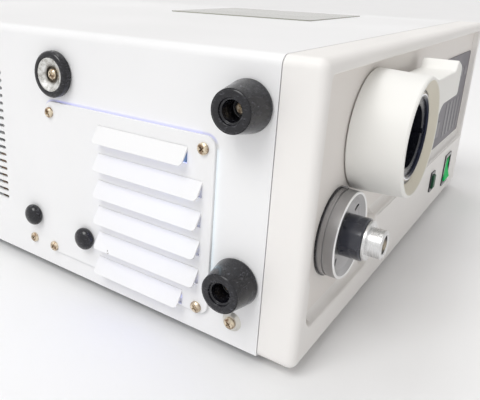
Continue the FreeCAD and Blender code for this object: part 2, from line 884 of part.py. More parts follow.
def aux_insulator():
    """Black insulating body of the auxiliary connector."""
    tip = -aux_ins_out
    seat = -aux_barrel_root + 2
    neck = aux_barrel_r - aux_neck_in
    return turned([(neck - 0.3, aux_ins_in), (neck - 0.3, seat), (neck, seat), (neck, tip),
                   (aux_ins_r - 0.8, tip), (aux_ins_r, tip + 0.8), (aux_ins_r, aux_ins_in)], aux_x, aux_z)


def aux_barrel():
    """Bright flanged barrel that a mating plug slides over, with a thinner neck in the insulator."""
    tip = -aux_barrel_out
    root = -aux_barrel_root + 2
    shoulder = -aux_ins_out - touch
    flange = shoulder - aux_flange_t
    r, bore = aux_barrel_r, aux_barrel_bore
    neck = r - aux_neck_in
    return turned([(0, root), (neck, root), (neck, shoulder), (aux_flange_r, shoulder),
                   (aux_flange_r, flange + 0.3), (aux_flange_r - 0.3, flange), (r, flange), (r, tip + 0.7),
                   (r - 0.7, tip), (bore + 0.6, tip), (bore, tip + 0.6), (bore, root - 2), (0, root - 2)],
                  aux_x, aux_z)


def aux_contact():
    """Gilt contact inside the barrel."""
    tip = -aux_barrel_out + 1.5
    root = -aux_barrel_root
    return turned([(0, root), (contact_r, root), (contact_r, tip + 1), (contact_r - 0.7, tip), (0, tip)],
                  aux_x, aux_z)


def aux_nut():
    """Ring nut behind the panel that holds the auxiliary connector."""
    nut = tube_y(aux_x, aux_z, aux_nut_r, panel_back, panel_back + aux_nut_t, aux_ins_r)
    notches = []
    for angle in range(0, 360, 90):
        notch = box(aux_nut_r - 2, aux_nut_r + 2, panel_back - 1, panel_back + aux_nut_t + 1, -2, 2)
        notch.rotate(Vector(0, 0, 0), Vector(0, 1, 0), angle)
        notch.translate(Vector(aux_x, 0, aux_z))
        notches.append(notch)
    return cut_all(nut, notches)


def control_overlay():
    """Flat key overlay on the recessed panel."""
    x1 = rim_right - dash_gap
    z0 = apron_h + ledge_rise
    return rounded_plate(x1 - dash_w, x1, z0, z0 + dash_h, panel_y - dash_t, panel_y, 3.0)


def switch_housing(x, z, w, h, floor):
    """Black housing of a switch: flange on the apron, walls behind it and a closed end."""
    half_w, half_h = w / 2 + housing_wall, h / 2 + housing_wall
    outer = box(x - half_w, x + half_w, 0, housing_l, z - half_h, z + half_h)
    flange = rounded_plate(x - half_w - housing_lip, x + half_w + housing_lip, z - half_h - housing_lip,
                           z + half_h + housing_lip, -housing_lip, 0, 1.5 * housing_lip)
    room = box(x - w / 2, x + w / 2, -housing_lip - 1, floor, z - h / 2, z + h / 2)
    return outer.fuse(flange).removeSplitter().cut(room)


def rocker_housing():
    """Housing of the power rocker with the holes of its pivot."""
    body = switch_housing(rocker_x, rocker_z, rocker_w, rocker_h, housing_l - 2)
    hole = rod((rocker_x - rocker_w, pivot_in, rocker_z), (1, 0, 0), pivot_r + run_fit, 2 * rocker_w)
    return body.cut(hole)


def power_rocker():
    """Rocker with two faces that meet in a shallow V, tilted to its resting side."""
    half_w, half_h = rocker_w / 2 - touch, rocker_h / 2 - 0.9
    y_end, y_mid = -rocker_out, -rocker_out + 1.6
    back = rocker_deep
    narrow = half_h - 6
    outline = [(y_end, half_h), (back, narrow), (back, -narrow), (y_end, -half_h), (y_mid, 0)]
    line = [Vector(rocker_x - half_w, y, rocker_z + z) for y, z in outline]
    body = Part.Face(Part.makePolygon(line + line[:1])).extrude(Vector(2 * half_w, 0, 0))
    body = rounded(body, 0.8, along(0, lambda p: p.y < y_end + 0.2))
    pin = rod((rocker_x - rocker_w / 2 - 1.2, pivot_in, rocker_z), (1, 0, 0), pivot_r, rocker_w + 2.4)
    rocker = join([body, pin])
    rocker.rotate(Vector(rocker_x, pivot_in, rocker_z), Vector(1, 0, 0), -rocker_tilt)
    return rocker


def button_housing():
    """Housing of the push button."""
    return switch_housing(button_x, button_z, button_w, button_h, button_l + button_travel + 1)


def push_button():
    """Push button cap, guided by its housing."""
    half_w, half_h = button_w / 2 - touch, button_h / 2 - touch
    x, z = button_x, button_z
    cap = box(x - half_w, x + half_w, -button_out, button_l, z - half_h, z + half_h)
    return rounded(cap, 0.9, lambda p, w: abs(p.y + button_out) < 0.01 or abs(w.y) > 0.999)


def optics_bracket():
    """Cast bracket with two uprights for the lens and the heat filter."""
    x0, x1 = axis_x - bracket_half, axis_x + bracket_half
    floor, foot = floor_t, floor_t + bracket_foot_t
    top = sock_z + bracket_half
    wide = disc_x + motor_r + 2
    parts = [box(x0, wide, lens_y - 4, filter_y + upright_t, floor, foot),
             box(x0, x1, lens_y, lens_y + upright_t, floor, top),
             box(x0, wide, filter_y, filter_y + upright_t, floor, top)]
    tools = [rod((axis_x, lens_y - 1, sock_z), (0, 1, 0), lens_r, 200)]
    parts.append(rod((axis_x + shutter_arm, lens_y - 3.2, sock_z), (0, 1, 0), shaft_r, 3.2))
    bored = cut_all(join(parts[:3]), tools)
    return bored.fuse(parts[3]).removeSplitter()


def condenser_lens():
    """Biconvex lens in the front upright, with a tiny flat at the middle of each face."""
    bulge = (lens_t - lens_edge) / 2
    ball_r = (lens_r ** 2 + bulge ** 2) / (2 * bulge)
    front = lens_y + (upright_t - lens_t) / 2

    def face_points(apex, sign):
        found = []
        for r in (lens_flat, lens_r / 2, lens_r):
            sag = ball_r - sqrt(ball_r ** 2 - r ** 2)
            found.append(Vector(axis_x + r, apex + sign * sag, sock_z))
        return found

    a, b = face_points(front, 1), face_points(front + lens_t, -1)
    ends = [Vector(axis_x, p.y, sock_z) for p in (a[0], b[0])]
    profile = Part.Wire([Part.LineSegment(ends[0], a[0]).toShape(), Part.Arc(*a).toShape(),
                         Part.LineSegment(a[2], b[2]).toShape(), Part.Arc(*b[::-1]).toShape(),
                         Part.LineSegment(b[0], ends[1]).toShape(),
                         Part.LineSegment(ends[1], ends[0]).toShape()])
    return Part.Face(profile).revolve(Vector(axis_x, 0, sock_z), Vector(0, 1, 0), 360)


def heat_filter():
    """Flat heat-absorbing glass in the rear upright."""
    mid = filter_y + upright_t / 2
    return tube_y(axis_x, sock_z, lens_r, mid - filter_t / 2, mid + filter_t / 2)


def safety_shutter():
    """Blade that swings aside when a light guide is plugged in."""
    y1 = lens_y - touch
    y0 = y1 - shutter_t
    px = axis_x + shutter_arm
    blade = tube_y(axis_x, sock_z, shutter_r, y0, y1)
    arm = box(axis_x, px, y0, y1, sock_z - 3, sock_z + 3)
    hub = tube_y(px, sock_z, 4.5, y0, y1)
    hole = rod((px, y0 - 1, sock_z), (0, 1, 0), shaft_r + run_fit, shutter_t + 2)
    return join([blade, arm, hub]).cut(hole)


def attenuator_disc():
    """Disc on the motor's shaft, with slots that narrow round the disc to dim the light."""
    y0, y1 = disc_y, disc_y + disc_t
    reach = sqrt(disc_dx ** 2 + disc_dz ** 2)
    disc = tube_y(disc_x, disc_z, disc_r, y0, y1)
    hub = tube_y(disc_x, disc_z, 6.0, y0 - 2, filter_y - motor_l - touch)
    shaft = tube_y(disc_x, disc_z, shaft_r, y1, filter_y - 1)
    slots = []
    for i in range(10):
        r = 9.0 - 0.8 * i
        angle = 34.0 * i
        slots.append(rod((disc_x - reach * sin(radians(angle + 38.5)), y0 - 1,
                          disc_z + reach * cos(radians(angle + 38.5))), (0, 1, 0), r, disc_t + 2))
    return cut_all(join([disc, hub, shaft]), slots)


def attenuator_motor():
    """Flat stepper motor on the rear upright."""
    y1 = filter_y
    body = tube_y(disc_x, disc_z, motor_r, y1 - motor_l, y1)
    return body.cut(rod((disc_x, y1 - motor_l - 1, disc_z), (0, 1, 0), shaft_r + run_fit, motor_l + 2))


def lamp_body():
    """Ceramic short-arc lamp with its metal ends and reflecting bowl."""
    y = lamp_y
    y1, y2 = y + lamp_ring_l, y + lamp_ring_l + lamp_tube_l
    y3 = y2 + lamp_tail_l
    seat = y + lamp_glass_t
    half = lamp_bowl_r * 0.7
    return turned([(lamp_bowl_r, y), (lamp_ring_r, y), (lamp_ring_r, y1), (lamp_tube_r, y1),
                   (lamp_tube_r, y2), (lamp_tail_r, y2), (lamp_tail_r, y3), (0, y3), (0, seat + lamp_bowl_d),
                   (half, seat + lamp_bowl_d * 0.5), (lamp_bowl_r - 1, seat), (lamp_bowl_r, seat)],
                  axis_x, sock_z)


def lamp_window():
    """Window in the lamp's front ring."""
    return tube_y(axis_x, sock_z, lamp_bowl_r, lamp_y, lamp_y + lamp_glass_t)


def heat_sink(y0, bore):
    """Finned block round one end of the lamp, with fins level along the air's way."""
    half = sink_w / 2
    x, z = axis_x, sock_z
    parts = [tube_y(x, z, sink_core_r, y0, y0 + sink_t),
             box(x - sink_web / 2, x + sink_web / 2, y0, y0 + sink_t, z - half, z + half)]
    count = int(half / fin_pitch)
    for i in range(-count, count + 1):
        zf = z + i * fin_pitch
        parts.append(box(x - half, x + half, y0, y0 + sink_t, zf - fin_t / 2, zf + fin_t / 2))
    parts.append(box(x - half, x + half, y0, y0 + sink_t, z - half, z - half + 2))
    return join(parts).cut(rod((x, y0 - 1, z), (0, 1, 0), bore, sink_t + 2))


def sink_ys():
    """Front faces of the two heat sinks, on the lamp's front ring and on its tail."""
    return lamp_y, lamp_y + lamp_ring_l + lamp_tube_l


def lamp_cradle():
    """Insulating cradle that carries the two heat sinks on the floor."""
    y_a, y_b = sink_ys()
    x0, x1 = axis_x - cradle_half, axis_x + cradle_half
    top = sock_z - sink_w / 2
    return join([box(x0, x1, y_a, y_b + sink_t, floor_t, floor_t + 5),
                 box(x0, x1, y_a + 2, y_a + sink_t - 2, floor_t, top),
                 box(x0, x1, y_b + 2, y_b + sink_t - 2, floor_t, top)])


def lamp_duct():
    """Sheet duct from the fan past the lamp to the louvres."""
    x0, x1 = cover_t + floor_t + touch, duct_x1
    t = duct_t
    parts = [box(x0, x1, duct_y0, duct_y0 + t, floor_t, duct_top),
             box(x0, x1, duct_y1 - t, duct_y1, floor_t, duct_top),
             box(x0, x1, duct_y0, duct_y1, duct_top - t, duct_top),
             box(x1 - t, x1, duct_y0, duct_y1, floor_t, duct_top)]
    tools = [rod((axis_x, duct_y0 - 1, sock_z), (0, 1, 0), duct_light_r, t + 2),
             rod((x1 - t - 1, fan_y, fan_z), (1, 0, 0), fan_r, t + 2)]
    return cut_all(join(parts), tools)


def fan_frame():
    """Square fan frame with its hub on four struts."""
    x0, x1 = duct_x1, duct_x1 + fan_t
    half = fan_size / 2
    frame = box(x0, x1, fan_y - half, fan_y + half, fan_z - half, fan_z + half)
    frame = rounded(frame, 4.0, along(0))
    frame = frame.cut(rod((x0 - 1, fan_y, fan_z), (1, 0, 0), fan_r, fan_t + 2))
    parts = [frame, rod((x1 - fan_wall, fan_y, fan_z), (1, 0, 0), fan_hub_r, fan_wall)]
    for angle in range(45, 360, 90):
        strut = box(x1 - fan_wall, x1, fan_hub_r - 2, fan_r + 2, -strut_w / 2, strut_w / 2)
        strut.rotate(Vector(0, 0, 0), Vector(1, 0, 0), angle)
        strut.translate(Vector(0, fan_y, fan_z))
        parts.append(strut)
    parts.append(rod((x0 + 4, fan_y, fan_z), (1, 0, 0), shaft_r, fan_t - 4))
    body = join(parts)
    tools = [rod((x0 - 1, fan_y + sy * (half - 5), fan_z + sz * (half - 5)), (1, 0, 0), 2.2, fan_t + 2)
             for sy in (-1, 1) for sz in (-1, 1)]
    return cut_all(body, tools)


def fan_rotor():
    """Hub with pitched blades on the frame's shaft."""
    x0, x1 = duct_x1 + 2, duct_x1 + fan_t - fan_wall - touch
    hub = rod((x0, fan_y, fan_z), (1, 0, 0), fan_hub_r - 1, x1 - x0)
    reach = fan_r - fan_tip_gap
    parts = [hub]
    mid = (x0 + x1) / 2
    long = x1 - x0 - 3
    for i in range(fan_blades):
        blade = box(-long / 2, long / 2, fan_hub_r - 3, reach, -0.8, 0.8)
        blade.rotate(Vector(0, 0, 0), Vector(0, 1, 0), 38)
        blade.rotate(Vector(0, 0, 0), Vector(1, 0, 0), 360.0 / fan_blades * i)
        blade.translate(Vector(mid, fan_y, fan_z))
        parts.append(blade)
    body = join(parts)
    body = body.common(rod((x0, fan_y, fan_z), (1, 0, 0), reach, x1 - x0))
    return body.cut(rod((x0 - 1, fan_y, fan_z), (1, 0, 0), shaft_r + run_fit, fan_t + 2))


def igniter_box():
    """Closed starter box with its two terminals."""
    x, y, w, d, h = igniter
    z = floor_t
    case = rounded(box(x, x + w, y, y + d, z, z + h), 3.0, along(2))
    parts = [case]
    for dx in (0.25, 0.75):
        parts.append(rod((x + w * dx, y + d / 2, z + h), (0, 0, 1), terminal_r, terminal_h))
    return join(parts)


def power_board_z():
    """Underside of the power board."""
    return floor_t + standoff_h


def power_board():
    """Board of the lamp power supply."""
    z = power_board_z()
    return box(power_x0, power_x0 + power_w, power_y0, power_y0 + power_l, z, z + board_t)


def power_parts_z():
    """Top of the power board."""
    return power_board_z() + board_t


def transformer():
    """Wound core: bobbin and winding inside a laminated frame."""
    w, d, h = core_size
    x, y, z = power_x0 + core_at[0], power_y0 + core_at[1], power_parts_z()
    frame = box(x, x + w, y + d * 0.3, y + d * 0.7, z, z + h)
    winding = box(x + core_limb, x + w - core_limb, y, y + d, z + core_yoke, z + h - core_yoke)
    return join([frame, rounded(winding, core_yoke / 2, along(2))])


def capacitors():
    """Can capacitors in a row."""
    x, y, z = power_x0 + power_w - cap_in, power_y0 + cap_in, power_parts_z()
    return [rounded_can(x, y + cap_pitch * i, z) for i in range(cap_count)]


def rounded_can(x, y, z):
    """One capacitor can with its crimped groove."""
    r, h = cap_r, cap_h
    can = lathe_z([(0, 0), (r, 0), (r, 4), (r - 0.8, 5), (r, 6), (r, h - 1), (r - 1, h), (0, h)])
    return set_on(can, "up", x, y, z)


def power_heat_sink():
    """Finned extrusion for the power switches."""
    w, d, h = switch_sink
    x, y, z = power_x0 + switch_sink_at[0], power_y0 + switch_sink_at[1], power_parts_z()
    parts = [box(x, x + w, y, y + switch_sink_back, z, z + h)]
    for i in range(switch_sink_fins):
        xf = x + (w - fin_t) * i / (switch_sink_fins - 1)
        parts.append(box(xf, xf + fin_t, y + switch_sink_back, y + d, z, z + h))
    return join(parts)


def board_standoffs():
    """Stand-offs under the power board and behind the front panel."""
    solids = []
    edge = standoff_in
    for x in (power_x0 + edge, power_x0 + power_w - edge):
        for y in (power_y0 + edge, power_y0 + power_l - edge):
            solids.append(rod((x, y, floor_t), (0, 0, 1), standoff_r, standoff_h))
    over_switches = rocker_z + rocker_h / 2 + housing_wall + 2 * standoff_r
    for x in (main_x0() + edge, main_x0() + main_w - edge):
        for z in (over_switches, main_z0 + main_h - edge):
            solids.append(rod((x, panel_back, z), (0, 1, 0), standoff_r, standoff_h))
    return solids


def main_x0():
    """Left edge of the board behind the overlay."""
    return rim_right - dash_gap - dash_w


def main_board():
    """Upright control board behind the overlay, cut away round the switch housings."""
    x0 = main_x0()
    board = box(x0, x0 + main_w, board_y, board_y + board_t, main_z0, main_z0 + main_h)
    tools = [housing_hole(x, z, w + 2, h + 2, board_y - 1, board_y + board_t + 1)
             for x, z, w, h in switch_spots()]
    return cut_all(board, tools)


def main_board_parts():
    """Chips and connectors that sit on the main board."""
    x0, y, z0 = main_x0(), board_y + board_t, main_z0
    return [box(x0 + dx, x0 + dx + w, y, y + t, z0 + dz, z0 + dz + h) for dx, dz, w, h, t in board_blocks]


def mains_inlet():
    """Three-pole mains inlet with its flange."""
    x, z = case_w - inlet_dx, inlet_z
    body = box(x - inlet_w / 2, x + inlet_w / 2, rear_y1 - inlet_l, rear_y1, z - inlet_h / 2, z + inlet_h / 2)
    flange = rounded_plate(x - inlet_flange_w / 2, x + inlet_flange_w / 2, z - inlet_h / 2 - 2,
                           z + inlet_h / 2 + 2, rear_y1, rear_y1 + inlet_flange_t, 3.0)
    mouth_y = rear_y1 + inlet_flange_t
    mouth = box(x - inlet_mouth_w / 2, x + inlet_mouth_w / 2, mouth_y - inlet_mouth_d, mouth_y + 1,
                z - inlet_mouth_h / 2, z + inlet_mouth_h / 2)
    mouth = rounded(mouth, 3.0, along(1, lambda p: p.z < z))
    return join([body, flange]).cut(mouth)


def inlet_pins():
    """The three blades of the mains inlet."""
    x, z = case_w - inlet_dx, inlet_z
    y = rear_y1 + inlet_flange_t - inlet_mouth_d
    return [box(x + dx - 1, x + dx + 1, y, y + pin_l, z + dz - 3, z + dz + 3)
            for dx, dz in ((-7, 1.5), (0, -1.5), (7, 1.5))]


def fuse_z(i):
    """Height of one of the two fuse holders."""
    return inlet_z - fuse_pitch / 2 + fuse_pitch * i


def fuse_holder(i):
    """Round fuse holder with a flange on the rear panel."""
    x, z = case_w - fuse_dx, fuse_z(i)
    r, y = fuse_r, rear_y1
    room = cap_spigot_l + 1.0
    return turned([(0, y - fuse_l), (r, y - fuse_l), (r, y), (fuse_flange_r, y), (fuse_flange_r, y + 2),
                   (fuse_flange_r - 1, y + fuse_flange_t), (cap_spigot_r + run_fit, y + fuse_flange_t),
                   (cap_spigot_r + run_fit, y - room), (0, y - room)], x, z)


def fuse_cap(i):
    """Slotted cap that turns a quarter to let the fuse out."""
    x, z = case_w - fuse_dx, fuse_z(i)
    y = rear_y1 + fuse_flange_t + touch
    cap = turned([(0, rear_y1 - cap_spigot_l), (cap_spigot_r, rear_y1 - cap_spigot_l), (cap_spigot_r, y),
                  (cap_knob_r, y), (cap_knob_r, y + cap_knob_l - 1), (cap_knob_r - 1, y + cap_knob_l),
                  (0, y + cap_knob_l)], x, z)
    slot = box(x - cap_knob_r, x + cap_knob_r, y + cap_knob_l - 2, y + cap_knob_l + 1, z - 0.7, z + 0.7)
    return cap.cut(slot)


def earth_stud():
    """Earth terminal: a stud through the rear panel with a collar inside and its nut on the thread's core."""
    free = rear_y1 + nut_t + touch
    end = rear_y1 + stud_l
    return turned([(0, rear_y0 - 4), (stud_r + 2, rear_y0 - 4), (stud_r + 2, rear_y0), (stud_core_r, rear_y0),
                   (stud_core_r, free), (stud_r, free), (stud_r, end - 0.8), (stud_r - 0.8, end), (0, end)],
                  stud_x, stud_z)


def earth_nut():
    """Hexagon nut on the earth stud, against the rear panel."""
    corner = nut_af / 2 / cos(pi / 6)
    points = [Vector(stud_x + corner * cos(pi / 3 * i), rear_y1, stud_z + corner * sin(pi / 3 * i))
              for i in range(6)]
    nut = Part.Face(Part.makePolygon(points + points[:1])).extrude(Vector(0, nut_t, 0))
    return nut.cut(rod((stud_x, rear_y1 - 1, stud_z), (0, 1, 0), stud_core_r, nut_t + 2))


def signal_socket():
    """Shielded signal socket on the rear panel."""
    core_w, core_h = signal_core_w / 2, signal_core_h / 2
    shell_w, shell_h, wall = signal_shell_w / 2, signal_shell_h / 2, signal_wall
    lug_w, lug_h = core_w + signal_lug, core_h + 3 * wall
    x, z, y = signal_x, signal_z, rear_y1
    tip = y + signal_l
    flange = rounded_plate(x - lug_w, x + lug_w, z - lug_h, z + lug_h, y, y + wall, 2 * wall)
    shell = rounded_plate(x - shell_w, x + shell_w, z - shell_h, z + shell_h, y + wall, tip, 3 * wall)
    core = box(x - core_w, x + core_w, y - signal_in, y, z - core_h, z + core_h)
    room = rounded_plate(x - shell_w + wall, x + shell_w - wall, z - shell_h + wall, z + shell_h - wall,
                         y + 2 * wall, tip + 1, 2 * wall)
    return join([flange, shell, core]).cut(room)


def top_plate():
    """Thin blank plate stuck on the top."""
    plate = rounded_plate(top_x0, top_x0 + top_w, top_y0, top_y0 + top_d, 0, top_t, top_r)
    plate.rotate(Vector(0, 0, 0), Vector(1, 0, 0), -90)
    plate.translate(Vector(0, 0, case_h + top_t))
    return plate


def screws_on(spots, **size):
    """A screw at each (way, x, y, z) spot."""
    return [set_on(pan_screw(**size), way, x, y, z) for way, x, y, z in spots]


def cup_washer():
    """Cup washer under a case screw."""
    hole = screw_r + hole_play
    return lathe_z([(hole, 0), (cup_r, 0), (cup_r - 1.4, cup_h), (hole, cup_h)])


def build_all():
    """Every named piece with its solids, in the drawing's own place."""
    plate_spots = [("left", -plate_t, y, z) for y, z in plate_screw_spots()]
    foot_spots = [("left", 0, y, z) for y in side_foot_ys for z in side_foot_zs]
    plain = [(way, x, y, z) for way, x, y, z, cup in side_screws() if not cup]
    plain += [("rear", x, rear_y1, z) for x, z in rear_screw_spots()]
    cupped = [(way, x, y, z) for way, x, y, z, cup in side_screws() if cup]
    case_screws = screws_on(plain) + screws_on(cupped, base=cup_h)
    base_spots = [("down", x, y, 0) for x, y in base_foot_spots()]
    sunk = foot_h - base_foot_sink
    foot_screws = screws_on(foot_spots, base=side_foot_floor)
    foot_screws += screws_on([("left", 0, ring_y, ring_z)], base=ring_floor + ring_washer_t)
    foot_screws += screws_on(base_spots, base=sunk, high=base_screw_h, long=floor_t + 2)
    y_a, y_b = sink_ys()
    return {
        "base_chassis": [base_chassis()],
        "top_cover": [top_cover()],
        "front_bezel": [front_bezel()],
        "front_panel": [front_panel()],
        "rear_panel": [rear_panel()],
        "rear_brackets": rear_brackets(),
        "top_plate": [top_plate()],
        "lamp_access_plate": [lamp_access_plate()],
        "access_plate_screws": screws_on(plate_spots),
        "case_screws": case_screws,
        "case_cup_washers": [set_on(cup_washer(), *spot) for spot in cupped],
        "side_feet": [side_foot(y, z) for y in side_foot_ys for z in side_foot_zs],
        "ring_foot": [ring_foot()],
        "ring_foot_washer": [ring_foot_washer()],
        "bumper_domes": [dome(*dome_low, 0), dome(*dome_plate, -plate_t)],
        "base_feet": [base_foot(x, y) for x, y in base_foot_spots()],
        "foot_screws": foot_screws,
        "lock_collar": [lock_collar()],
        "socket_sleeve": [socket_sleeve()],
        "retaining_ring": [retaining_ring()],
        "socket_core": [socket_core()],
        "light_guide_tube": [light_guide_tube()],
        "aux_gasket": [aux_gasket()],
        "aux_cup": [aux_cup()],
        "aux_insulator": [aux_insulator()],
        "aux_barrel": [aux_barrel()],
        "aux_contact": [aux_contact()],
        "aux_nut": [aux_nut()],
        "control_overlay": [control_overlay()],
        "rocker_housing": [rocker_housing()],
        "power_rocker": [power_rocker()],
        "button_housing": [button_housing()],
        "push_button": [push_button()],
        "optics_bracket": [optics_bracket()],
        "condenser_lens": [condenser_lens()],
        "heat_filter": [heat_filter()],
        "safety_shutter": [safety_shutter()],
        "attenuator_disc": [attenuator_disc()],
        "attenuator_motor": [attenuator_motor()],
        "lamp_body": [lamp_body()],
        "lamp_window": [lamp_window()],
        "lamp_heat_sinks": [heat_sink(y_a, lamp_ring_r), heat_sink(y_b, lamp_tail_r)],
        "lamp_cradle": [lamp_cradle()],
        "lamp_duct": [lamp_duct()],
        "fan_frame": [fan_frame()],
        "fan_rotor": [fan_rotor()],
        "igniter_box": [igniter_box()],
        "power_board": [power_board()],
        "power_parts": [transformer(), power_heat_sink()] + capacitors(),
        "board_standoffs": board_standoffs(),
        "main_board": [main_board()],
        "main_board_parts": main_board_parts(),
        "mains_inlet": [mains_inlet()],
        "inlet_pins": inlet_pins(),
        "fuse_holders": [fuse_holder(0), fuse_holder(1)],
        "lower_fuse_cap": [fuse_cap(0)],
        "upper_fuse_cap": [fuse_cap(1)],
        "earth_stud": [earth_stud()],
        "earth_nut": [earth_nut()],
        "signal_socket": [signal_socket()],
    }


def bottom_centre(pieces):
    """The middle of the whole in X and Y, and its lowest height."""
    whole = Part.makeCompound([solid for solids in pieces.values() for solid in solids])
    bounds = whole.optimalBoundingBox(False, False)
    return Vector(bounds.Center.x, bounds.Center.y, bounds.ZMin)


def main():
    """Build, move to the bottom centre and write one file per piece."""
    os.makedirs("parts", exist_ok=True)
    pieces = build_all()
    shift = bottom_centre(pieces)
    print("origin in the drawing", round(shift.x, 4), round(shift.y, 4), round(shift.z, 4))
    for name, solids in pieces.items():
        shape = solids[0] if len(solids) == 1 else Part.makeCompound(solids)
        shape.translate(shift * -1)
        shape.exportStep("parts/" + name + ".step")
        flat = [s for s in shape.Solids]
        print(name, len(flat), round(sum(s.Volume for s in flat), 1), shape.isValid())


main()
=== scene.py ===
import json
from math import cos, pi, radians, sin, tan

import bmesh
import bpy
from mathutils import Matrix, Vector

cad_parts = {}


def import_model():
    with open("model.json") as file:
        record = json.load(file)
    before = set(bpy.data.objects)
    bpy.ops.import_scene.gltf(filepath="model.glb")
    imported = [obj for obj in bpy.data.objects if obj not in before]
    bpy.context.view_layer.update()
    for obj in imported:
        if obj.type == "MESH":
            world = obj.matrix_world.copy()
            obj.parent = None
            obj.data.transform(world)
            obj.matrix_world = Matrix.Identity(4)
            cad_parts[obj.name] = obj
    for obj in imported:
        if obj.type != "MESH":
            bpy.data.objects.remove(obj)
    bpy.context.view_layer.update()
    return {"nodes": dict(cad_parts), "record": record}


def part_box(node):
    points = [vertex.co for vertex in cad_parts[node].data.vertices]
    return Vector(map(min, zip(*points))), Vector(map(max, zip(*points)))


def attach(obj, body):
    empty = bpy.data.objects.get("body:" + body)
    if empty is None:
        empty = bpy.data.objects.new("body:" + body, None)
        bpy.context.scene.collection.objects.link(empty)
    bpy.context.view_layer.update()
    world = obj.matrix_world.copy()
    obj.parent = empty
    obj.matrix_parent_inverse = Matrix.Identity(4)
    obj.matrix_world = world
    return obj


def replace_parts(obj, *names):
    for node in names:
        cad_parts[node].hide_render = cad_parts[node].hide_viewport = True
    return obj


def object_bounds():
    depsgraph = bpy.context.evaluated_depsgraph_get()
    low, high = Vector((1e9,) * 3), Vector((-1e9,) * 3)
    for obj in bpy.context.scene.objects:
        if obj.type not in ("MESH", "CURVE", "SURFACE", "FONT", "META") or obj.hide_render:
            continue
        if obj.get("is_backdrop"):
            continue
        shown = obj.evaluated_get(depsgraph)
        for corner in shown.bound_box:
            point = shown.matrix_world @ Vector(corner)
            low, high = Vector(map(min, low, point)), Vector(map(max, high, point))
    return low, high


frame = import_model()
nodes = frame["nodes"]

# Real sizes in millimetres, as the frame has them
MM = 0.001
screw_bore = 2.15
side_foot_r = 13.0
side_foot_tip_r = 10.3
side_foot_l = 16.5
side_foot_bore = 5.2
side_foot_floor = 5.0
side_foot_ys = (35.7, 419.3)
side_foot_zs = (38.5, 130.0)
ring_r = 13.8
ring_h = 5.7
ring_seat_r = 9.9
ring_floor = 1.2
ring_y = 166.2
ring_z = 129.0
seat_well_r = 4.6
seat_flat_r = 6.4
dome_r = 7.0
dome_h = 6.9
dome_waist = 2.3
dome_undercut = 30
base_foot_r = 11.0
base_foot_h = 7.0
base_well_r = 4.8
base_well_d = 3
mouth_r = 30.9
sleeve_r = 23.9
plate_t = 1.5
plate_y0 = 51.5
plate_y1 = 175.5
plate_z0 = 11.5
plate_z1 = 112.0
plate_r = 6.0
louvre_y0 = 58.0
louvre_y1 = 130.7
louvre_z0 = 12.7
louvre_z1 = 104.0

# Turned rubber, as the corners of a section: radius, height and corner radius in millimetres
side_foot_section = (
    (screw_bore, 0, 0),
    (side_foot_r - 0.6, 0, 0),
    (side_foot_r, 1.2, 0.5),
    (side_foot_tip_r + 0.1, side_foot_l - 0.5, 0),
    (side_foot_tip_r, side_foot_l, 1.7),
    (side_foot_bore + 1.2, side_foot_l, 0.5),
    (side_foot_bore + 0.9, side_foot_l - 1.2, 0.3),
    (side_foot_bore, side_foot_l - 1.6, 0.3),
    (side_foot_bore, side_foot_floor, 0.6),
    (screw_bore, side_foot_floor, 0),
)
ring_foot_section = (
    (screw_bore, 0, 0),
    (ring_r - 0.8, 0, 0),
    (ring_r, 0.8, 0.6),
    (ring_r, ring_h, 2.3),
    (ring_seat_r + 0.2, ring_h, 0.6),
    (ring_seat_r, ring_floor, 0.2),
    (screw_bore, ring_floor, 0),
)
base_foot_section = (
    (screw_bore, 0, 0),
    (base_foot_r, 0, 0),
    (base_foot_r - 0.6, base_foot_h - 1, 0.4),
    (base_foot_r - 1.6, base_foot_h, 0.8),
    (base_well_r + 0.4, base_foot_h, 0.5),
    (base_well_r, base_foot_h - base_well_d, 0.2),
    (screw_bore, base_foot_h - base_well_d, 0),
)

# Pads on the control film, in millimetres. Their middles are measured from its lower edge and from
# its left edge, or its right edge where x is less than zero. Sizes are width, height and rise
bar_count = 5
bar_pitch = 14
bar_x = -66
bar_z = 20
bar_size = (7.5, 30, 0.25)
key_count = 4
square_key_pitch = 19
square_key_x = 16
square_key_z = 16
square_key_size = (14, 14, 0.45)
flat_key_pitch = 18
flat_key_z = 58
flat_key_size = (13, 8, 0.35)
display_x = 40
display_z = 50
display_size = (62, 26, 0.3)
pad_corner = 1.5
pad_sunk = 0.05
pad_ease = 0.25
pad_wall = 0.6

# How finely round shapes are cut, the angle in degrees that stays smooth, and the welding distance
turn_steps = 96
dome_turn_steps = 64
dome_steps = 18
corner_steps = 5
smooth_angle = 35
weld = 1e-7

# The camera, as the photograph was taken: millimetres from the case's left, front, bottom corner,
# degrees, and pixels of the photograph
camera_at = (-222.2, -85.8, 184.5)
camera_azimuth = -53.98
camera_elevation = 18.13
camera_roll = 1.84
photo_w = 480
photo_h = 400
photo_focal = 554.9
photo_centre = (176.5, 160.9)
sensor_w = 36.0
view_near = 10
view_far = 60000

# The sky, the key, the strip overhead and the floor: ways and places in the frame's axes, in metres
soft_light_way = Vector((-0.72, 0.2, 0.66)).normalized()
warm_shade = (0.17, 0.135, 0.10)
cool_sky = (0.78, 0.785, 0.80)
pale_room = (0.66, 0.65, 0.64)
key_way = (-0.60, 0.12, 0.79)
key_strength = 1.22
key_spread = 30
key_tint = (1.0, 0.995, 0.985)
strip_at = (0.30, 0.10, 1.45)
strip_w = 0.7
strip_d = 0.28
strip_glow = 4.5
floor_reach = 12.0

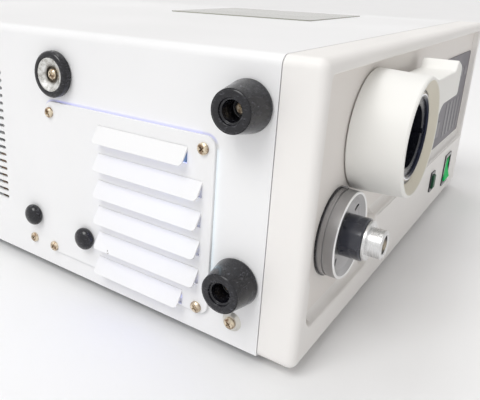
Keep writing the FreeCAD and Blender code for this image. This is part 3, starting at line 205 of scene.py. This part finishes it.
# The lamp's own light round the plate, behind the louvres and in the case, in millimetres
leak_gap = 0.3
leak_top_glow = 0.75
leak_front_glow = 1.1
leak_front_lift = 6
lamp_glow_x = 3
lamp_glow_past_w = 16
lamp_glow_past_h = 6
lamp_glow = 1.6
duct_at = (16, 58, 75)
duct_w = 26
duct_h = 60
duct_glow = 3.0
inside_at = (120, 330, 110)
inside_power = 0.13
inside_r = 30
white = (1, 1, 1)
violet = (0.50, 0.52, 1.0)
pale_blue = (0.60, 0.85, 1.0)
deep_blue = (0.35, 0.55, 1.0)

# Colours of the paint, and the least roughness that a finish may drift to
case_white = (0.86, 0.86, 0.862)
case_mark = (0.45, 0.44, 0.42)
front_mark = (0.5, 0.48, 0.45)
# a grey for the line round the access plate, and painted violet lamplight for the top of that line
plate_line_grey = (0.70, 0.70, 0.70)
leaked_light = (0.62, 0.63, 0.85)
least_rough = 0.03

LEFT = (-1, 0, 0)
DOWN = (0, 0, -1)
OUT_FRONT = (0, -1, 0)
UP = (0, 0, 1)
BACKWARD = (0, 1, 0)
ALONG_X = (1, 0, 0)
ALONG_Y = (0, 1, 0)

bezel_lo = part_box("front_bezel")[0]
cover_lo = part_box("top_cover")[0]


def at(x, y, z):
    """A point in metres, given in millimetres from the case's left, front, bottom corner."""
    return Vector((bezel_lo.x + x * MM, bezel_lo.y + y * MM, cover_lo.z + z * MM))


def link(obj):
    """Puts a new object in the scene."""
    bpy.context.scene.collection.objects.link(obj)
    return obj


# Parts of materials

def base_material(name):
    """An empty material with one principled shader."""
    mat = bpy.data.materials.new(name)
    mat.use_nodes = True
    tree = mat.node_tree
    tree.nodes.clear()
    out = tree.nodes.new("ShaderNodeOutputMaterial")
    shader = tree.nodes.new("ShaderNodeBsdfPrincipled")
    tree.links.new(shader.outputs[0], out.inputs["Surface"])
    return mat, tree, shader


def set_sockets(tree, shader, **sockets):
    """Gives a shader's sockets their values, or the outputs that they follow."""
    for name, value in sockets.items():
        socket = shader.inputs[name.replace("_", " ")]
        if isinstance(value, bpy.types.NodeSocket):
            tree.links.new(value, socket)
        else:
            socket.default_value = value


def object_point(tree):
    """A surface point in its object's own space, in metres."""
    return tree.nodes.new("ShaderNodeTexCoord").outputs["Object"]


def place(tree, axis):
    """How far along X, Y or Z a surface point is."""
    parts = tree.nodes.new("ShaderNodeSeparateXYZ")
    tree.links.new(object_point(tree), parts.inputs[0])
    return parts.outputs[axis]


def vector_step(tree, operation, vector, value=None):
    """One step of vector arithmetic, with a constant where it takes one."""
    node = tree.nodes.new("ShaderNodeVectorMath")
    node.operation = operation
    tree.links.new(vector, node.inputs[0])
    if value is not None:
        node.inputs[1].default_value = value
    return node.outputs["Value" if operation in ("LENGTH", "DOT_PRODUCT") else "Vector"]


def combine(tree, operation, first, second):
    """Two numbers put together."""
    node = tree.nodes.new("ShaderNodeMath")
    node.operation = operation
    tree.links.new(first, node.inputs[0])
    tree.links.new(second, node.inputs[1])
    return node.outputs[0]


def radius_about(tree, node, axis):
    """How far a surface point is from the axis of a round node."""
    lo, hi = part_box(node)
    across = Vector((1, 1, 1)) - Vector(axis)
    offset = vector_step(tree, "SUBTRACT", object_point(tree), (lo + hi) / 2)
    return vector_step(tree, "LENGTH", vector_step(tree, "MULTIPLY", offset, across))


def noise(tree, scale, detail, stretch=(1, 1, 1)):
    """Noise in the object's own space; scale is in cells per metre."""
    mapping = tree.nodes.new("ShaderNodeMapping")
    mapping.inputs["Scale"].default_value = stretch
    tex = tree.nodes.new("ShaderNodeTexNoise")
    tex.inputs["Scale"].default_value = scale
    tex.inputs["Detail"].default_value = detail
    tree.links.new(object_point(tree), mapping.inputs["Vector"])
    tree.links.new(mapping.outputs["Vector"], tex.inputs["Vector"])
    return tex.outputs["Fac"]


def ramp(tree, factor, low, high, start=0.35, end=0.65):
    """A colour that drifts from low to high with a factor."""
    node = tree.nodes.new("ShaderNodeValToRGB")
    for element, colour, position in zip(node.color_ramp.elements, (low, high), (start, end)):
        element.position = position
        element.color = (*colour, 1)
    tree.links.new(factor, node.inputs["Fac"])
    return node.outputs["Color"]


def spread(tree, factor, low, high, start=0.3, end=0.7):
    """A number that follows a factor between two values."""
    node = tree.nodes.new("ShaderNodeMapRange")
    node.inputs["From Min"].default_value = start
    node.inputs["From Max"].default_value = end
    node.inputs["To Min"].default_value = low
    node.inputs["To Max"].default_value = high
    tree.links.new(factor, node.inputs["Value"])
    return node.outputs["Result"]


def within(tree, distance, inner, outer):
    """One up to an inner distance, fading to nothing at an outer one, both in millimetres."""
    return spread(tree, distance, 1.0, 0.0, inner * MM, outer * MM)


def blend(tree, factor, first, second):
    """Two colour outputs or colours mixed by a factor."""
    node = tree.nodes.new("ShaderNodeMix")
    node.data_type = "RGBA"
    tree.links.new(factor, node.inputs[0])
    for socket, value in ((node.inputs[6], first), (node.inputs[7], second)):
        if isinstance(value, tuple):
            socket.default_value = (*value, 1)
        else:
            tree.links.new(value, socket)
    return node.outputs[2]


def bump(tree, shader, factor, strength, depth):
    """Relief from a factor; depth is in millimetres."""
    node = tree.nodes.new("ShaderNodeBump")
    node.inputs["Strength"].default_value = strength
    node.inputs["Distance"].default_value = depth * MM
    tree.links.new(factor, node.inputs["Height"])
    tree.links.new(node.outputs["Normal"], shader.inputs["Normal"])


def shade(colour, share):
    """A colour made darker or lighter by a share, and never over one."""
    return tuple(min(1.0, c * (1 + share)) for c in colour)


def drifting(tree, factor, colour, darker, lighter):
    """A colour that drifts with a factor by a share to each side."""
    return ramp(tree, factor, shade(colour, -darker), shade(colour, lighter))


# Kinds of material

def surface(name, colour, rough, metal=0.0, drift=0.03, blotch=25, grain=900, relief=0.2,
            depth=0.05, stretch=(1, 1, 1), gloss_drift=0.06, **sockets):
    """A surface with slow drift in its colour and gloss and a fine grain in its skin."""
    mat, tree, shader = base_material(name)
    slow = noise(tree, blotch, detail=4, stretch=stretch)
    fine = noise(tree, grain, detail=2, stretch=stretch)
    low, high = max(least_rough, rough - gloss_drift), min(1.0, rough + gloss_drift)
    bump(tree, shader, fine, relief, depth)
    set_sockets(tree, shader, Base_Color=drifting(tree, slow, colour, drift, drift),
                Roughness=spread(tree, slow, low, high), Metallic=metal, **sockets)
    return mat


def paintwork(name, colour, rough, mark, grain=1400):
    """Fine-textured paint with soft grime and a few small marks and chips."""
    mat, tree, shader = base_material(name)
    grime = noise(tree, scale=9, detail=5)
    fine = noise(tree, grain, detail=2)
    chips = noise(tree, scale=150, detail=3)
    skin = drifting(tree, grime, colour, darker=0.018, lighter=0.012)
    spots = spread(tree, chips, 0.0, 1.0, start=0.765, end=0.785)
    bump(tree, shader, fine, strength=0.12, depth=0.05)
    set_sockets(tree, shader, Base_Color=blend(tree, spots, skin, mark),
                Roughness=spread(tree, grime, rough - 0.06, rough + 0.07))
    return mat


def turned_metal(name, colour, rough, lines):
    """Machined metal with fine turning lines round the Y axis."""
    mat, tree, shader = base_material(name)
    turning = noise(tree, lines, detail=2, stretch=(0.04, 1, 0.04))
    slow = noise(tree, scale=50, detail=3)
    bump(tree, shader, turning, strength=0.04, depth=0.02)
    set_sockets(tree, shader, Base_Color=drifting(tree, slow, colour, darker=0.07, lighter=0.07),
                Roughness=spread(tree, turning, rough - 0.05, rough + 0.06), Metallic=1.0)
    return mat


def worn_rubber(name, colour, scuff):
    """Black rubber with a polished sheen, pale scuffs and a pitted skin."""
    mat, tree, shader = base_material(name)
    slow = noise(tree, scale=160, detail=5)
    pits = noise(tree, scale=1500, detail=2)
    scrapes = noise(tree, scale=420, detail=6, stretch=(1, 1, 3))
    scuffs = spread(tree, scrapes, 0.0, 0.7, start=0.58, end=0.76)
    bump(tree, shader, pits, strength=0.25, depth=0.08)
    set_sockets(tree, shader, Base_Color=blend(tree, scuffs, colour, scuff),
                Roughness=spread(tree, slow, 0.14, 0.36), Specular_IOR_Level=0.32,
                Coat_Weight=0.3, Coat_Roughness=0.08)
    return mat


def gilt(name, stained, clean):
    """Yellow passivated screw metal, dull and brown in places."""
    mat, tree, shader = base_material(name)
    stain = noise(tree, scale=420, detail=5)
    bump(tree, shader, stain, strength=0.2, depth=0.1)
    set_sockets(tree, shader, Base_Color=ramp(tree, stain, stained, clean, start=0.38, end=0.58),
                Roughness=spread(tree, stain, 0.55, 0.28), Metallic=0.75)
    return mat


def collar_plastic(name):
    """Smooth moulded plastic, painted a darker beige inside its mouth as the shade in its funnel.
    """
    mat, tree, shader = base_material(name)
    slow = noise(tree, scale=12, detail=4)
    fine = noise(tree, scale=900, detail=2)
    skin = ramp(tree, slow, (0.855, 0.85, 0.815), (0.875, 0.87, 0.84))
    # painted shade: inside the mouth the colour turns a darker beige, standing in for the shade in
    # the funnel
    painted_mouth_shade = ramp(tree, slow, (0.64, 0.60, 0.49), (0.70, 0.66, 0.56))
    radius = radius_about(tree, "retaining_ring", ALONG_Y)
    mouth = within(tree, radius, inner=mouth_r - 0.5, outer=mouth_r + 0.1)
    bump(tree, shader, fine, strength=0.06, depth=0.05)
    set_sockets(tree, shader, Base_Color=blend(tree, mouth, skin, painted_mouth_shade),
                Roughness=spread(tree, slow, 0.46, 0.56))
    return mat


def socket_chrome(name):
    """Bright chrome whose inner step is blackened."""
    mat, tree, shader = base_material(name)
    slow = noise(tree, scale=120, detail=3)
    bright = ramp(tree, slow, (0.85, 0.85, 0.88), (0.92, 0.92, 0.94))
    radius = radius_about(tree, "socket_sleeve", ALONG_Y)
    step = within(tree, radius, inner=sleeve_r - 1.5, outer=sleeve_r - 1.3)
    set_sockets(tree, shader, Base_Color=blend(tree, step, bright, (0.025, 0.028, 0.045)),
                Roughness=spread(tree, slow, 0.08, 0.15), Metallic=1.0)
    return mat


def seat_metal(name):
    """The bright dished seat in the ring foot, painted dark brown round its screw as the shade in
    its well.
    """
    mat, tree, shader = base_material(name)
    streaks = noise(tree, scale=420, detail=4)
    bright = ramp(tree, streaks, (0.50, 0.49, 0.46), (0.80, 0.80, 0.78), start=0.38, end=0.6)
    # painted shade: within the well round the screw the colour turns dark brown
    radius = radius_about(tree, "ring_foot_washer", ALONG_X)
    well = within(tree, radius, seat_well_r, seat_flat_r)
    bump(tree, shader, streaks, strength=0.15, depth=0.1)
    set_sockets(tree, shader, Base_Color=blend(tree, well, bright, (0.10, 0.085, 0.065)),
                Roughness=spread(tree, streaks, 0.22, 0.4), Metallic=0.85)
    return mat


def lined_paint(name, colour, rough, mark):
    """Case paint with a soft grey line round the access plate, painted violet at its top as
    lamplight leaking out.
    """
    mat = paintwork(name, colour, rough, mark)
    tree = mat.node_tree
    colour_socket = tree.nodes["Principled BSDF"].inputs["Base Color"]
    skin = colour_socket.links[0].from_socket
    middle = at(0, (plate_y0 + plate_y1) / 2, (plate_z0 + plate_z1) / 2)
    half = Vector((0, plate_y1 - plate_y0, plate_z1 - plate_z0)) / 2 * MM
    past_plate = object_point(tree)
    for operation, value in (("SUBTRACT", middle),
                             ("ABSOLUTE", None),
                             ("SUBTRACT", half - Vector((0, plate_r, plate_r)) * MM),
                             ("MAXIMUM", (0, 0, 0)),
                             ("MULTIPLY", (0, 1, 1)),
                             ("LENGTH", None)):
        past_plate = vector_step(tree, operation, past_plate, value)
    # a soft grey line on the case just outside the plate's edge, fading out a millimetre further on
    line = within(tree, past_plate, inner=plate_r + 0.7, outer=plate_r + 1.7)
    side = middle.x
    left_side = spread(tree, place(tree, "X"), 1.0, 0.0, start=side + 1 * MM, end=side + 2 * MM)
    # painted light: towards the plate's top the line turns violet, standing in for lamplight
    # leaking from the gap
    top = (middle + half).z
    height = spread(tree, place(tree, "Z"), 0.0, 1.0, start=top - 4 * MM, end=top - 1 * MM)
    tint = ramp(tree, height, plate_line_grey, leaked_light, start=0.0, end=1.0)
    here = combine(tree, "MULTIPLY", line, left_side)
    tree.links.new(blend(tree, here, skin, tint), colour_socket)
    return mat


def rim_highlight_metal(name, colour, rim_colour):
    """Finely turned grey metal whose rim is painted near white as a highlight."""
    mat, tree, shader = base_material(name)
    # painted highlight: a thin band at the rim's front edge turns near white
    lo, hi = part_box("aux_cup")
    edge = (hi.x - lo.x) / 2
    radius = radius_about(tree, "aux_cup", ALONG_Y)
    near_edge = spread(tree, radius, 0.0, 1.0, start=edge - 1.7 * MM, end=edge - 1.5 * MM)
    depth = place(tree, "Y")
    near_front = spread(tree, depth, 1.0, 0.0, start=lo.y + 0.3 * MM, end=lo.y + 0.7 * MM)
    rim = combine(tree, "MULTIPLY", near_edge, near_front)
    slow = noise(tree, scale=40, detail=3)
    body = drifting(tree, slow, colour, darker=0.06, lighter=0.06)
    lines = noise(tree, scale=2600, detail=1, stretch=(0.02, 1, 0.02))
    bump(tree, shader, lines, strength=0.05, depth=0.02)
    set_sockets(tree, shader, Base_Color=blend(tree, rim, body, rim_colour),
                Roughness=spread(tree, lines, 0.28, 0.36), Metallic=0.85)
    return mat


def board_green(name):
    """Solder mask with faint copper tracks under it."""
    mat, tree, shader = base_material(name)
    tracks = noise(tree, scale=220, detail=1, stretch=(1, 6, 6))
    bump(tree, shader, tracks, strength=0.3, depth=0.05)
    mask = ramp(tree, tracks, (0.02, 0.12, 0.05), (0.06, 0.26, 0.11), start=0.48, end=0.52)
    set_sockets(tree, shader, Base_Color=mask, Roughness=0.35)
    return mat


def lit_lens(name, node, colour, dark, dark_from, glow):
    """Clear plastic lit from inside; from a share of its node's height upwards it is painted dark
    as shade.
    """
    mat, tree, shader = base_material(name)
    lo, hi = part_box(node)
    # painted shade: from this height up the rocker turns dark
    turning_dark = lo.z + dark_from * (hi.z - lo.z)
    height = spread(tree, place(tree, "Z"), 0.0, 1.0, start=turning_dark, end=hi.z)
    mottle = noise(tree, scale=260, detail=3)
    body = drifting(tree, mottle, colour, darker=0.12, lighter=0.1)
    tint = blend(tree, height, body, dark)
    bump(tree, shader, mottle, strength=0.08, depth=0.1)
    set_sockets(tree, shader, Base_Color=tint, Emission_Color=tint, Emission_Strength=glow,
                Roughness=0.5, Specular_IOR_Level=0.08)
    return mat


# The finish of each material slot: its kind of material, and how that kind is set
finishes = {
    "case_paint": (lined_paint, dict(colour=case_white, rough=0.40, mark=case_mark)),
    "bezel_paint": (paintwork, dict(colour=(0.86, 0.84, 0.815), rough=0.42, mark=front_mark,
                                    grain=1200)),
    "panel_paint": (paintwork, dict(colour=(0.82, 0.785, 0.75), rough=0.5, mark=front_mark)),
    "zinc_sheet": (surface, dict(colour=(0.62, 0.63, 0.64), rough=0.35, metal=1.0, drift=0.12,
                                 blotch=60, grain=500)),
    "rear_paint": (paintwork, dict(colour=(0.78, 0.78, 0.78), rough=0.45, mark=(0.4, 0.4, 0.4))),
    "smoked_plate": (surface, dict(colour=(0.27, 0.275, 0.225), rough=0.12, drift=0.12, blotch=14,
                                   relief=0.04, Coat_Weight=0.6)),
    "gilt_screw": (gilt, dict(stained=(0.24, 0.15, 0.09), clean=(0.76, 0.66, 0.50))),
    "nickel": (turned_metal, dict(colour=(0.74, 0.74, 0.74), rough=0.27, lines=900)),
    "chrome": (socket_chrome, {}),
    "black_rubber": (worn_rubber, dict(colour=(0.008, 0.008, 0.011), scuff=(0.13, 0.13, 0.15))),
    "collar_plastic": (collar_plastic, {}),
    # the cup's rim is painted near white as a highlight
    "cup_metal": (rim_highlight_metal, dict(colour=(0.40, 0.395, 0.40), rim_colour=(0.92, 0.92, 0.92))),
    "black_plastic": (surface, dict(colour=(0.010, 0.011, 0.017), rough=0.26, drift=0.2, grain=1600,
                                    relief=0.1, Specular_IOR_Level=0.65, Coat_Weight=0.3,
                                    Coat_Roughness=0.15)),
    "overlay_film": (surface, dict(colour=(0.135, 0.125, 0.145), rough=0.42, drift=0.06, grain=2200,
                                   relief=0.1)),
    # the rocker's upper part is painted dark as shade
    "green_lens": (lit_lens, dict(node="power_rocker", colour=(0.004, 0.30, 0.07),
                                  dark=(0.003, 0.05, 0.015), dark_from=0.72, glow=0.6)),
    "dark_green_key": (surface, dict(colour=(0.008, 0.065, 0.028), rough=0.4, drift=0.15,
                                     Specular_IOR_Level=0.3)),
    "black_aluminium": (surface, dict(colour=(0.05, 0.05, 0.05), rough=0.45, metal=0.6, drift=0.1,
                                      blotch=80)),
    "optical_glass": (surface, dict(colour=(0.92, 0.96, 0.96), rough=0.04, drift=0.01, relief=0.02,
                                    gloss_drift=0.02, Transmission_Weight=1.0, IOR=1.5)),
    "lamp_ceramic": (surface, dict(colour=(0.86, 0.84, 0.80), rough=0.3)),
    "aluminium": (surface, dict(colour=(0.74, 0.74, 0.75), rough=0.35, metal=1.0, drift=0.06,
                                blotch=80, grain=700, stretch=(1, 8, 8))),
    "heat_insulator": (surface, dict(colour=(0.33, 0.22, 0.14), rough=0.6, drift=0.2, blotch=150)),
    "circuit_board": (board_green, {}),
    "board_parts": (surface, dict(colour=(0.04, 0.04, 0.045), rough=0.4, drift=0.2, blotch=120)),
}
paint = {slot: kind(slot, **settings) for slot, (kind, settings) in finishes.items()}

# Nodes that differ from their slot's finish: the insulator is a bluer black, the access plate has
# no grey line round it, the cup washers are duller, and the ring foot's seat is painted dark in its
# well as shade
own_finish = {
    "aux_insulator": surface("dark_sleeve", colour=(0.018, 0.020, 0.032), rough=0.20, drift=0.15,
                             grain=1600, relief=0.08, stretch=(0.2, 1, 0.2), Coat_Weight=0.5,
                             Coat_Roughness=0.1),
    "lamp_access_plate": paintwork("plate_paint", colour=case_white, rough=0.40, mark=case_mark),
    "ring_foot_washer": seat_metal("seat_metal"),
    "case_cup_washers": surface("cup_washer", colour=(0.70, 0.68, 0.63), rough=0.42, metal=0.7,
                                drift=0.08, blotch=300),
}


def coat(obj, material):
    """Gives an object one material."""
    obj.data.materials.clear()
    obj.data.materials.append(material)


for part in frame["record"]["subparts"]:
    node = part["node"]
    coat(nodes[node], own_finish.get(node, paint[part["material_slot"]]))


# Pieces

def finish_piece(piece, slot, material=None):
    """Puts a material on a piece, its slot's unless one is given, and lets it ride on the case."""
    coat(piece, material or paint[slot])
    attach(piece, "case")
    return piece


def from_bmesh(name, bm):
    """A new object from a bmesh, smooth but for its sharp edges."""
    bmesh.ops.recalc_face_normals(bm, faces=bm.faces)
    mesh = bpy.data.meshes.new(name)
    bm.to_mesh(mesh)
    bm.free()
    mesh.shade_smooth()
    mesh.set_sharp_from_angle(angle=radians(smooth_angle))
    return link(bpy.data.objects.new(name, mesh))


def lathe(bm, section, origin, way, steps):
    """Turns (radius, height) points in millimetres about a line through origin."""
    way = Vector(way).normalized()
    side = way.orthogonal().normalized()
    other = way.cross(side)
    rings = []
    for i in range(steps):
        angle = 2 * pi * i / steps
        radial = side * cos(angle) + other * sin(angle)
        rings.append([bm.verts.new(origin + radial * (r * MM) + way * (h * MM))
                      for r, h in section])
    count = len(section)
    for i in range(steps):
        a, b = rings[i], rings[(i + 1) % steps]
        for j in range(count):
            k = (j + 1) % count
            bm.faces.new((a[j], b[j], b[k], a[k]))
    bmesh.ops.remove_doubles(bm, verts=bm.verts, dist=weld)


def rounded(corners):
    """A section of (radius, height, corner radius) corners, each turned into an arc."""
    out = []
    for i, (r, h, soft) in enumerate(corners):
        if not soft:
            out.append((r, h))
            continue
        here = Vector((r, h))
        before = (Vector(corners[i - 1][:2]) - here).normalized()
        after = (Vector(corners[(i + 1) % len(corners)][:2]) - here).normalized()
        half = before.angle(after) / 2
        back = soft / tan(half)
        centre = here + (before + after).normalized() * (soft / sin(half))
        start = here + before * back - centre
        end = here + after * back - centre
        turn = start.angle_signed(end)
        for s in range(corner_steps + 1):
            out.append(tuple(centre + Matrix.Rotation(-turn * s / corner_steps, 2) @ start))
    return out


def rubber_piece(name, section, origins, way, replaced, steps=turn_steps):
    """A turned rubber piece, repeated at several origins, that stands in for a CAD node."""
    bm = bmesh.new()
    for origin in origins:
        lathe(bm, section, origin, way, steps)
    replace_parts(finish_piece(from_bmesh(name, bm), "black_rubber"), replaced)


def side_feet():
    """Tapered rubber feet with a rolled tip and a stepped screw well."""
    spots = [at(0, y, z) for y in side_foot_ys for z in side_foot_zs]
    rubber_piece("side_foot_rubber", rounded(side_foot_section), spots, LEFT, "side_feet")


def ring_foot():
    """Low rubber ring with round shoulders."""
    spots = [at(0, ring_y, ring_z)]
    rubber_piece("ring_foot_rubber", rounded(ring_foot_section), spots, LEFT, "ring_foot")


def base_feet():
    """Round feet under the case."""
    lo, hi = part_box("base_feet")
    r = base_foot_r * MM
    spots = [Vector((x, y, hi.z)) for x in (lo.x + r, hi.x - r) for y in (lo.y + r, hi.y - r)]
    rubber_piece("base_foot_rubber", rounded(base_foot_section), spots, DOWN, "base_feet")


def domes():
    """Rubber bumpers, drawn in a little where they meet the case and the access plate."""
    lo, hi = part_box("bumper_domes")
    r = dome_r * MM
    spots = [Vector((bezel_lo.x, hi.y - r, hi.z - r)),
             Vector((bezel_lo.x - plate_t * MM, lo.y + r, lo.z + r))]
    start = -radians(dome_undercut)
    section = [(0, 0)]
    for i in range(dome_steps + 1):
        angle = start + (pi / 2 - start) * i / dome_steps
        rise = dome_waist * 2 if angle < 0 else dome_h - dome_waist
        section.append((dome_r * cos(angle), max(0.0, dome_waist + rise * sin(angle))))
    rubber_piece("bumper_dome_rubber", section, spots, LEFT, "bumper_domes", dome_turn_steps)


def round_rectangle(w, h, r):
    """Outline points of a rectangle with round corners, about its middle."""
    x, z = w / 2 - r, h / 2 - r
    out = []
    for cx, cz, start in ((x, z, 0), (-x, z, 90), (-x, -z, 180), (x, -z, 270)):
        for s in range(corner_steps + 1):
            angle = radians(start + 90 * s / corner_steps)
            out.append((cx + r * cos(angle), cz + r * sin(angle)))
    return out


def pad(bm, x, z, w, h, proud, face_y):
    """One low pad with an eased edge on the front film, in millimetres."""
    rings = []
    for inset, out in ((0, -pad_sunk), (0, proud * pad_wall), (pad_ease, proud)):
        outline = round_rectangle(w - 2 * inset, h - 2 * inset, pad_corner)
        rings.append([bm.verts.new(at(x + px, face_y - out, z + pz)) for px, pz in outline])
    count = len(rings[0])
    for low, high in zip(rings, rings[1:]):
        for i in range(count):
            j = (i + 1) % count
            bm.faces.new((low[i], low[j], high[j], high[i]))
    bm.faces.new(rings[-1])
    bm.faces.new(rings[0][::-1])


def film_pads():
    """Blank keys, bar windows and a display window on the control film."""
    lo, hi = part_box("control_overlay")
    face_y = (lo.y - bezel_lo.y) / MM
    x0, x1 = (lo.x - bezel_lo.x) / MM, (hi.x - bezel_lo.x) / MM
    z0 = (lo.z - cover_lo.z) / MM
    bars = [(x1 + bar_x + i * bar_pitch, z0 + bar_z, *bar_size) for i in range(bar_count)]
    keys = []
    for i in range(key_count):
        keys += [(x0 + square_key_x + i * square_key_pitch, z0 + square_key_z, *square_key_size),
                 (x1 + bar_x + i * flat_key_pitch, z0 + flat_key_z, *flat_key_size)]
    display = [(x0 + display_x, z0 + display_z, *display_size)]
    window_skin = surface("film_window", colour=(0.185, 0.178, 0.195), rough=0.4, drift=0.06,
                          grain=2200, relief=0.08)
    key_skin = surface("film_key", colour=(0.22, 0.21, 0.23), rough=0.45, drift=0.05, grain=2200,
                       relief=0.1)
    display_skin = surface("film_display", colour=(0.02, 0.02, 0.025), rough=0.12, drift=0.1,
                           relief=0.03)
    for name, pads, skin in (("film_bar_windows", bars, window_skin),
                             ("film_keys", keys, key_skin),
                             ("film_display_window", display, display_skin)):
        bm = bmesh.new()
        for spot_and_size in pads:
            pad(bm, *spot_and_size, face_y)
        finish_piece(from_bmesh(name, bm), "overlay_film", skin)


def make_pieces():
    """Everything that is more than a CAD node with a finish."""
    side_feet()
    ring_foot()
    base_feet()
    domes()
    film_pads()


# Stage, lights and camera

def floor():
    """A pale floor that runs past the view."""
    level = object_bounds()[0].z
    corners = [(x * floor_reach, y * floor_reach) for x, y in ((-1, -1), (1, -1), (1, 1), (-1, 1))]
    bm = bmesh.new()
    bm.faces.new([bm.verts.new((x, y, level)) for x, y in corners])
    plane = from_bmesh("floor", bm)
    coat(plane, surface("floor_white", colour=(0.90, 0.90, 0.90), rough=0.75, drift=0.008, blotch=3,
                        grain=300, relief=0.25, depth=0.3))
    plane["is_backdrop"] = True


def sky(tree, low, high):
    """A background that grows from one colour to another towards the soft light."""
    view = tree.nodes.new("ShaderNodeTexCoord").outputs["Generated"]
    toward_light = vector_step(tree, "DOT_PRODUCT", view, soft_light_way)
    lean = spread(tree, toward_light, 0.0, 1.0, start=-1.0, end=1.0)
    shader = tree.nodes.new("ShaderNodeBackground")
    tree.links.new(ramp(tree, lean, low, high, start=0.0, end=1.0), shader.inputs["Color"])
    return shader.outputs[0]


def world():
    """Soft light, weaker and warmer from the front right; view and reflections see a pale room."""
    scene_world = bpy.data.worlds.new("studio")
    bpy.context.scene.world = scene_world
    scene_world.use_nodes = True
    tree = scene_world.node_tree
    tree.nodes.clear()
    out = tree.nodes.new("ShaderNodeOutputWorld")
    mix = tree.nodes.new("ShaderNodeMixShader")
    ray = tree.nodes.new("ShaderNodeLightPath").outputs
    seen = combine(tree, "MAXIMUM", ray["Is Camera Ray"], ray["Is Glossy Ray"])
    seen = combine(tree, "MAXIMUM", seen, ray["Is Transmission Ray"])
    tree.links.new(seen, mix.inputs["Fac"])
    tree.links.new(sky(tree, warm_shade, cool_sky), mix.inputs[1])
    tree.links.new(sky(tree, pale_room, white), mix.inputs[2])
    tree.links.new(mix.outputs[0], out.inputs["Surface"])


def new_light(name, kind):
    """A new lamp in the scene."""
    return link(bpy.data.objects.new(name, bpy.data.lights.new(name, kind)))


def area_light(name, place_at, toward, size_x, size_y, glow, colour):
    """A rectangle of light facing a way; glow is its brightness, where white is 1."""
    lamp = new_light(name, "AREA")
    lamp.data.shape = "RECTANGLE"
    lamp.data.size = size_x
    lamp.data.size_y = size_y
    lamp.data.energy = glow * pi * size_x * size_y
    lamp.data.color = colour
    lamp.location = place_at
    lamp.rotation_euler = (-Vector(toward)).to_track_quat("Z", "Y").to_euler()


def lights():
    """A soft key, a strip overhead, and the lamp's light in the case and at its access plate."""
    key = new_light("key", "SUN")
    key.data.energy = key_strength
    key.data.angle = radians(key_spread)
    key.data.color = key_tint
    key.rotation_euler = Vector(key_way).to_track_quat("Z", "Y").to_euler()
    area_light("strip", strip_at, DOWN, strip_w, strip_d, strip_glow, white)

    plate_y, plate_z = (plate_y0 + plate_y1) / 2, (plate_z0 + plate_z1) / 2
    louvre_y, louvre_z = (louvre_y0 + louvre_y1) / 2, (louvre_z0 + louvre_z1) / 2
    edge_x = -plate_t / 2
    for name, spot, toward, size_x, size_y, glow, colour in (
            ("leak_top", (edge_x, plate_y, plate_z1 + leak_gap), UP,
             plate_t, plate_y1 - plate_y0 - 3 * plate_r, leak_top_glow, violet),
            ("leak_front", (edge_x, plate_y0 - leak_gap, plate_z + leak_front_lift), OUT_FRONT,
             plate_t, plate_z1 - plate_z0 - 4 * plate_r, leak_front_glow, pale_blue),
            ("lamp_glow", (lamp_glow_x, louvre_y, louvre_z), LEFT,
             louvre_y1 - louvre_y0 + lamp_glow_past_w, louvre_z1 - louvre_z0 + lamp_glow_past_h,
             lamp_glow, violet),
            ("duct_glow", duct_at, BACKWARD, duct_w, duct_h, duct_glow, deep_blue)):
        area_light(name, at(*spot), toward, size_x * MM, size_y * MM, glow, colour)

    inside = new_light("inside_glow", "POINT")
    inside.data.energy = inside_power
    inside.data.shadow_soft_size = inside_r * MM
    inside.location = at(*inside_at)


def camera():
    """The photograph's camera, with its own point of view and off-centre crop."""
    a, e, roll = radians(camera_azimuth), radians(camera_elevation), radians(camera_roll)
    back = Vector((sin(a) * cos(e), -cos(a) * cos(e), sin(e)))
    right = Vector(UP).cross(back).normalized()
    up = back.cross(right)
    rolled_right = right * cos(roll) + up * sin(roll)
    rolled_up = up * cos(roll) - right * sin(roll)
    data = bpy.data.cameras.new("camera")
    data.sensor_width = sensor_w
    data.lens = photo_focal * sensor_w / photo_w
    data.shift_x = (photo_w / 2 - photo_centre[0]) / photo_w
    data.shift_y = (photo_centre[1] - photo_h / 2) / photo_w
    data.clip_start = view_near * MM
    data.clip_end = view_far * MM
    cam = link(bpy.data.objects.new("camera", data))
    turn = Matrix((rolled_right, rolled_up, back)).transposed()
    cam.matrix_world = Matrix.Translation(at(*camera_at)) @ turn.to_4x4()
    bpy.context.scene.camera = cam


make_pieces()
floor()
world()
lights()
camera()
bpy.context.scene.view_settings.view_transform = "Standard"
